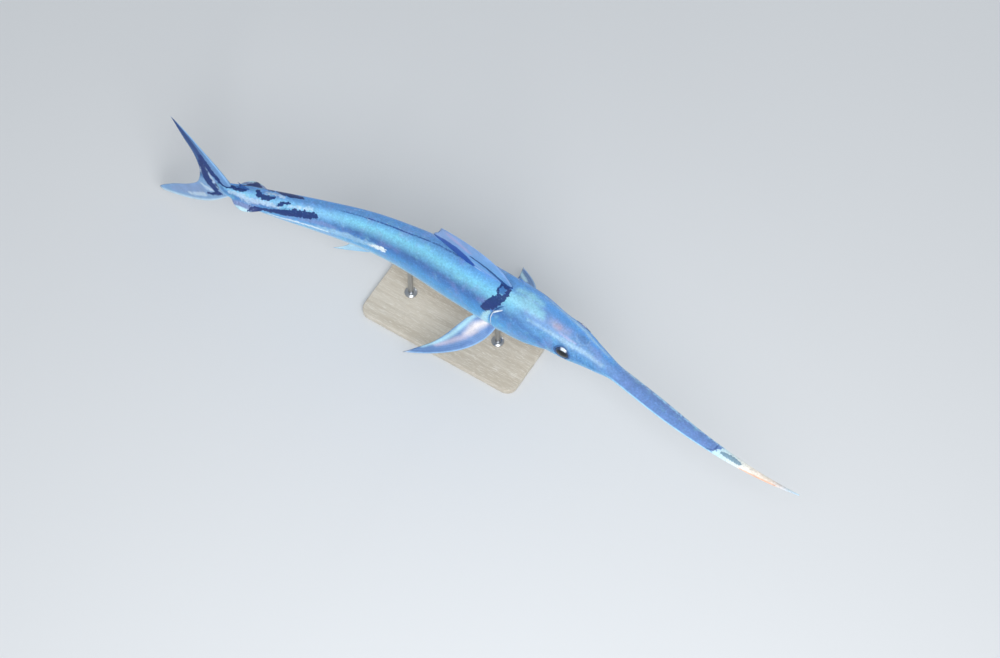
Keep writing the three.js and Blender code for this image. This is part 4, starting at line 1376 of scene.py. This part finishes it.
FIRST_ANAL = RayFin(
    name="anal_fin_first",
    finish=FinMembrane("anal fin membrane", "#84bfea", "#b8e2f8", "#a8d6f4", "#94caf0", 18, tints=(
        Tint("#d8f2fc", (Mark(((0.68, -0.1, 5), (0.69, -0.108, 5))),), 0.8, 6.0, 4.0),
    )),
    root=((0.562, -0.055), (0.607, -0.052), (0.652, -0.047)),
    edge=((0.7, -0.118), (0.673, -0.096), (0.66, -0.077), (0.66, -0.064), (0.669, -0.059)),
    bow=-0.12, thickness=6 * MM, rows=36, per_ray=5,
)
SECOND_ANAL = RayFin(
    name="anal_fin_second",
    finish=FinMembrane("small anal fin membrane", "#7aaade", "#90bee8", "#9ccaf0", "#7aaade", 9),
    root=((0.864, -0.022), (0.878, -0.019), (0.892, -0.016)),
    edge=((0.9, -0.046), (0.894, -0.035), (0.896, -0.029), (0.906, -0.027)),
    bow=-0.08, thickness=3 * MM, rows=20, ridge=0.25 * MM, fray=0.8 * MM,
)
UPPER_TAIL = RayFin(
    name="caudal_fin_upper",
    finish=FinMembrane("upper tail fin membrane", "#6c98cc", "#2c5694", "#7ca6d6", "#8ab6e2", 20, 0.07, (
        TAIL_MIDDLE,
        Tint("#1e4284", (Mark(((0.992, 0.085, 11), (1.01, 0.11, 10), (1.035, 0.14, 7), (1.056, 0.165, 5))),),
             0.9, 4.0, 6.0, 12.0),
        Tint("#cfe4f8", (Mark(((0.985, 0.05, 4), (0.975, 0.03, 6), (0.966, 0.014, 6), (0.962, 0.002, 5))),
                         Mark(((0.995, 0.035, 4), (0.992, 0.018, 5)))), 0.6, 3.0, 12.0, 5.0),
        Tint(NAVY, (
            Mark(((0.988, 0.08, 11), (0.974, 0.058, 11), (0.961, 0.038, 9), (0.949, 0.023, 8))),
            Mark(((0.949, 0.023, 8), (0.942, 0.011, 8), (0.934, 0.005, 8), (0.92, 0.003, 8))),
            Mark(((0.99, 0.062, 9), (0.987, 0.042, 11), (0.982, 0.022, 12), (0.978, 0.004, 13))),
        ), 0.95, 0.7, 18.0, 6.0),
    )),
    root=((0.92, 0.0145), (0.937, 0.009), (0.945, -0.001)),
    edge=((1.062, 0.171), (1.037, 0.123), (1.011, 0.079), (0.999, 0.035), (1, -0.001)),
    bow=0.18, thickness=11 * MM, rows=60,
)
LOWER_TAIL = RayFin(
    name="caudal_fin_lower",
    finish=FinMembrane("lower tail fin membrane", "#88aeda", "#82aede", "#a4caee", "#d0ecfc", 20, 0.2, (
        TAIL_MIDDLE,
        Tint("#8f9fcc", (Mark(((1.0, -0.05, 14), (1.05, -0.1, 14), (1.085, -0.135, 9))),),
             0.5, 8.0, 14.0, 12.0),
        Tint("#d4e8f8", (Mark(((1.035, -0.105, 4), (1.01, -0.085, 6), (0.99, -0.065, 6))),
                         Mark(((1.0, -0.03, 3), (0.985, -0.035, 5), (0.97, -0.03, 5)))),
             0.7, 3.0, 16.0, 6.0),
        Tint(NAVY, (
            Mark(((0.977, 0.0, 14), (0.97, -0.01, 12), (0.962, -0.018, 10), (0.955, -0.027, 7))),
            Mark(((0.983, -0.053, 3), (0.971, -0.046, 4), (0.958, -0.035, 5), (0.948, -0.026, 6))),
        ), 0.95, 0.7, 18.0, 6.0),
    )),
    root=((0.92, -0.0145), (0.937, -0.009), (0.945, 0.001)),
    edge=(
        (1.117, -0.1735), (1.125, -0.164), (1.086, -0.118), (1.04, -0.074), (1.01, -0.036), (1, 0.001),
    ),
    bow=-0.145, thickness=11 * MM, rows=60,
)

# Pectoral fins, in their own plane: [back, out] from the root
PECTORAL_TINTS = {
    Side.RIGHT: (
        Tint("#d4ccdc", (Mark((
            (-0.016, 0.045, 6), (-0.016, 0.075, 8), (-0.012, 0.105, 7), (-0.006, 0.13, 5))),),
            0.7, 8.0, 5.0, 14.0),
        Tint("#587cb4", (Mark((
            (-0.036, 0.075, 3), (-0.035, 0.1, 4), (-0.027, 0.13, 4), (-0.01, 0.165, 3))),),
            0.6, 7.0, 5.0, 14.0),
        # A painted highlight: warm white at the root
        Tint("#fbf2f2", (Mark((
            (-0.006, 0.004, 9), (-0.003, 0.022, 12), (-0.007, 0.04, 9), (-0.012, 0.058, 5))),),
            0.95, 12.0, 6.0, 14.0),
        # A pale cyan upper edge, partly a painted highlight
        Tint("#bdeaf8", (Mark((
            (0.026, -0.002, 5), (0.022, 0.014, 6), (0.016, 0.035, 6), (0.009, 0.06, 6), (0.003, 0.083, 5.5),
            (0.0, 0.107, 5), (0.001, 0.131, 4), (0.005, 0.155, 2.5))),), 0.85, 6.0, 4.0, 12.0),
        Tint("#4a76b8", (Mark(((-0.032, 0.026, 2), (-0.022, 0.014, 4), (-0.014, 0.002, 4))),), 0.55, 6.0),
        Tint("#dce4ee", (Mark(((0.012, 0.19, 4), (0.012, 0.178, 2))),), 0.7, 5.0),
    ),
    Side.LEFT: (
        Tint("#c0e8f8", (Mark((
            (0.016, 0.176, 5), (0.008, 0.159, 6), (-0.004, 0.142, 7), (-0.012, 0.13, 6))),),
            0.9, 5.0, 4.0),
        Tint("#cdeafc", (Mark(((-0.035, 0.114, 1.5), (-0.047, 0.111, 2), (-0.058, 0.107, 1.5))),), 0.8, 2.0),
        Tint("#dce4ee", (Mark(((0.012, 0.19, 4), (0.012, 0.178, 2))),), 0.6, 5.0),
    ),
}


@dataclass
class FinSet:
    """All the fins, each placed from the body that it grows from."""

    shape: BodyShape
    dorsal_lean: float = 11.0
    pectoral_station: float = 0.305
    pectoral_height: float = -0.046
    pectoral_lateral: float = 0.036
    pectoral_droop: float = 43.0
    sweep_right: float = 39.0
    sweep_left: float = 10.0

    def in_middle(self, back: Array, up: Array, slope: float = 0.0) -> Array:
        """Puts a fin in the body's own curved middle plane.

        Args:
            back: How far each place is behind the tip of the lower jaw.
            up: How far it is above the axis.
            slope: How far right the fin leans for each metre above the body.

        Returns:
            The points, one row each.
        """
        station = back / FORK_LENGTH
        above = np.maximum(0.0, up - self.shape.rise(station) * FORK_LENGTH)
        return self.shape.backbone.beside(station, -slope * above, up)

    def held_out(self, side: Side, sweep: float, back: Array, out: Array) -> Array:
        """Puts a pectoral fin beside the body.

        Args:
            side: The side that the fin is on.
            sweep: How far it is swept back, in degrees.
            back: How far each place is behind the middle of its root.
            out: How far out it is.

        Returns:
            The points, one row each.
        """
        turn, tilt = math.radians(sweep), math.radians(self.pectoral_droop)
        reach = out * math.cos(turn)
        lateral = self.pectoral_lateral * FORK_LENGTH + reach * math.cos(tilt)
        height = self.pectoral_height * FORK_LENGTH - reach * math.sin(tilt)
        root = self.shape.backbone.beside(self.pectoral_station, side.value * lateral, height)
        ahead = self.shape.backbone.forward(np.array(self.pectoral_station))
        return root - ahead * (back + out * math.sin(turn))[..., None]

    def build(self) -> None:
        """Makes every fin: the first dorsal leans a little, and the pectorals are held out for a turn."""
        lean = math.tan(math.radians(self.dorsal_lean))
        FIRST_DORSAL.build(partial(self.in_middle, slope=lean))
        for fin in (SECOND_DORSAL, FIRST_ANAL, SECOND_ANAL, UPPER_TAIL, LOWER_TAIL):
            fin.build(self.in_middle)
        for side, sweep in ((Side.LEFT, self.sweep_left), (Side.RIGHT, self.sweep_right)):
            RayFin(
                name=f"pectoral_fin_{side.label}",
                finish=FinMembrane(
                    f"{side.label} pectoral fin membrane", "#7698cc", "#6286ba", "#90b2de", "#9cc4ec", 18,
                    tints=PECTORAL_TINTS[side],
                ),
                root=((-0.027, 0.0), (0.0, 0.0), (0.027, 0.0)),
                edge=(
                    (0.013, 0.196), (0.008, 0.161), (0.005, 0.127), (0.01, 0.091), (0.0185, 0.057),
                    (0.027, 0.022),
                ),
                bow=0.4, thickness=8 * MM, rows=56,
            ).build(partial(self.held_out, side, sweep))


@dataclass
class Eye:
    """One large eye: a painted ball that fills its socket."""

    shape: BodyShape
    side: Side
    lateral: float = 32.0 * MM
    half_depth: float = 14.0 * MM
    yaw: float = 8.0
    film: float = 0.3 * MM

    def turn(self) -> Matrix:
        """Returns:
            Where the eye is and which way it looks: its own Z points out of the head.
        """
        ahead = Vector(self.shape.backbone.forward(np.array(EYE_STATION)))
        up = Vector((0.0, 0.0, 1.0))
        angle = math.radians(self.yaw)
        sideways = up.cross(ahead) * self.side.value
        out = (sideways * math.cos(angle) + ahead * math.sin(angle)).normalized()
        middle = self.shape.backbone.beside(EYE_STATION, self.side.value * self.lateral, EYE_HEIGHT)
        basis = Matrix((up.cross(out), up, out)).transposed().to_4x4()
        return Matrix.Translation(Vector(middle)) @ basis

    def build(self, globe: bpy.types.Material) -> None:
        """Args:
            globe: The painted ball's material.
        """
        bm = bmesh.new()
        bmesh.ops.create_uvsphere(bm, u_segments=64, v_segments=48, radius=1.0)
        iris = bm.verts.layers.float_vector.new("Iris")
        for vertex in bm.verts:
            off = math.acos(max(-1.0, min(1.0, vertex.co.z))) / (math.pi / 2.0)
            vertex[iris] = Vector((off, math.atan2(vertex.co.y, -self.side.value * vertex.co.x), 0.0))
        size = Vector((EYE_ALONG, EYE_UP, self.half_depth)) - Vector((self.film,) * 3)
        bmesh.ops.scale(bm, vec=size, verts=bm.verts)
        bmesh.ops.transform(bm, matrix=self.turn(), verts=bm.verts)
        bmesh.ops.recalc_face_normals(bm, faces=bm.faces)
        name = self.side.label
        dress(make_object(f"eyeball_{name}", bm, globe), "eye", f"eye_{name}")


def round_off(bm: bmesh.types.BMesh, edges: list[bmesh.types.BMEdge], size: float, steps: int) -> None:
    """Args:
        bm: The bmesh that holds the edges.
        edges: The edges to round off.
        size: How far the rounding reaches from each edge.
        steps: How many faces it has across.
    """
    bmesh.ops.bevel(
        bm, geom=edges, offset=size, offset_type="OFFSET", affect="EDGES", segments=steps, profile=0.5,
        material=-1,
    )


@dataclass
class Stand:
    """The display stand: a rounded oak base and two steel rods with turned collars."""

    shape: BodyShape
    corner: float = 26.0 * MM
    edge: float = 2.5 * MM
    rods: tuple[tuple[str, float], ...] = (("stand_rod_front", 0.3), ("stand_rod_rear", 0.52))
    rod_radius: float = 6.5 * MM
    collar_radius: float = 15.0 * MM
    collar_height: float = 6.0 * MM
    soft: float = 0.8 * MM
    sink: float = 1.5 * MM
    steps: int = 64

    def base(self, wood: bpy.types.Material) -> None:
        """The base, with round corners and a softened edge.

        Args:
            wood: What it is made of.
        """
        low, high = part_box("stand_base")
        bm = bmesh.new()
        bmesh.ops.create_cube(bm, size=1.0)
        bmesh.ops.scale(bm, vec=high - low, verts=bm.verts)
        bmesh.ops.translate(bm, vec=(low + high) / 2.0, verts=bm.verts)
        upright = [e for e in bm.edges if abs(e.verts[0].co.z - e.verts[1].co.z) > self.edge]
        round_off(bm, upright, self.corner, 14)
        level = [e for e in bm.edges if abs(e.verts[0].co.z - e.verts[1].co.z) < self.edge / 10.0]
        round_off(bm, [e for e in level if e.calc_face_angle(0.0) > math.radians(60.0)], self.edge, 4)
        made = make_object("stand_base_oak", bm, wood)
        made.data.set_sharp_from_angle(angle=math.radians(50.0))
        dress(made, "stand", "stand_base")

    def rod(self, name: str, station: float, steel: bpy.types.Material) -> None:
        """A turned collar and the rod that rises from it into the belly.

        Args:
            name: The solid's name.
            station: Where it meets the belly.
            steel: What it is made of.
        """
        foot = self.shape.backbone.beside(station, 0.0, 0.0)
        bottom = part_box(name)[0].z
        top = AXIS_HEIGHT - float(self.shape.drop(station)) * FORK_LENGTH + self.sink - bottom
        collar, tall, stem, soft = self.collar_radius, self.collar_height, self.rod_radius, self.soft
        profile = (
            (0.0, 0.0), (collar - soft, 0.0), (collar, soft), (collar, tall * 0.5),
            (collar - soft, tall * 0.62), (collar * 0.75, tall * 0.92), (collar * 0.7, tall),
            (stem + soft, tall), (stem, tall + soft), (stem, top), (0.0, top),
        )
        bm = bmesh.new()
        chain = [bm.verts.new((x, 0.0, bottom + z)) for x, z in profile]
        edges = [bm.edges.new(pair) for pair in zip(chain, chain[1:])]
        bmesh.ops.spin(
            bm, geom=chain + edges, cent=(0, 0, 0), axis=(0, 0, 1), angle=2.0 * math.pi, steps=self.steps,
            use_merge=True,
        )
        bmesh.ops.remove_doubles(bm, verts=bm.verts, dist=WELD)
        bmesh.ops.translate(bm, vec=(float(foot[0]), float(foot[1]), 0.0), verts=bm.verts)
        bmesh.ops.recalc_face_normals(bm, faces=bm.faces)
        made = make_object(f"{name}_steel", bm, steel)
        made.data.set_sharp_from_angle(angle=math.radians(35.0))
        dress(made, "rod", name)

    def build(self) -> None:
        """Makes the base and both rods."""
        self.base(LimedOak().build())
        steel = BrushedSteel().build()
        for name, station in self.rods:
            self.rod(name, station, steel)


@dataclass
class Studio:
    """The floor, the soft lights and the camera, which looks down at the fish from its right.

    A light is its name, its power in watts, the length of its sides and where it hangs.
    """

    floor_size: float = 14.0
    lamps: tuple[tuple[str, float, float, Triple], ...] = (
        ("key", 88.0, 2.4, (1.6, -2.05, 2.85)),
        ("spark right", 5.0, 0.3, (1.0, -3.35, 1.1)),
        ("spark left", 5.0, 0.3, (0.2, 3.4, 0.5)),
    )
    sky: str = "#eef2f6"
    sky_strength: float = 0.6
    azimuth: float = 32.0
    elevation: float = 60.68
    distance: float = 8.0
    target: Triple = (0.1579, -0.0700, AXIS_HEIGHT)
    pixels_per_radian: float = 3537.5
    frame_width: float = 1000.0
    sensor: float = 36.0

    def floor(self) -> None:
        """A plain pale floor under the stand."""
        bm = bmesh.new()
        bmesh.ops.create_grid(bm, x_segments=1, y_segments=1, size=self.floor_size / 2.0)
        made = make_object("floor", bm, StudioFloor().build(), smooth=False)

    def aim(self, data: bpy.types.Light | bpy.types.Camera, place: Vector) -> bpy.types.Object:
        """Args:
            data: A light or a camera.
            place: Where it is.

        Returns:
            Its object, which faces the fish.
        """
        made = bpy.data.objects.new(data.name, data)
        made.location = place
        made.rotation_euler = (place - Vector(self.target)).to_track_quat("Z", "Y").to_euler()
        bpy.context.scene.collection.objects.link(made)
        return made

    def lights(self) -> None:
        """A high key light, a small low light on each side for a spark in the eyes, and an even sky."""
        for name, power, size, place in self.lamps:
            data = bpy.data.lights.new(name, "AREA")
            data.energy, data.size = power, size
            self.aim(data, Vector(place))
        world = bpy.data.worlds.new("studio sky")
        world.use_nodes = True
        ground = world.node_tree.nodes["Background"]
        ground.inputs["Color"].default_value = srgb(self.sky)
        ground.inputs["Strength"].default_value = self.sky_strength
        bpy.context.scene.world = world

    def camera(self) -> None:
        """The camera, at the photograph's viewing angle and framing."""
        turn, tilt = math.radians(self.azimuth), math.radians(self.elevation)
        level = self.distance * math.cos(tilt)
        back = Vector((math.sin(turn) * level, -math.cos(turn) * level, math.sin(tilt) * self.distance))
        data = bpy.data.cameras.new("camera")
        data.sensor_width = self.sensor
        data.lens = self.pixels_per_radian / self.frame_width * self.sensor
        bpy.context.scene.camera = self.aim(data, Vector(self.target) + back)

    def build(self) -> None:
        """Makes the floor, the lights and the camera; the view keeps the fish's clear blues as they are."""
        bpy.context.scene.view_settings.view_transform = "Standard"
        self.floor()
        self.lights()
        self.camera()


def main() -> None:
    """Builds the stage, the skin, the fins, the eyes and the stand."""
    logging.basicConfig(level=logging.INFO, format="%(name)s: %(message)s")
    Studio().build()
    shape = BodyShape(Backbone())
    Skin(shape).build()
    FinSet(shape).build()
    globe = EyeGlobe().build()
    for side in Side:
        Eye(shape, side).build(globe)
    Stand(shape).build()


if __name__ == "__main__":
    main()
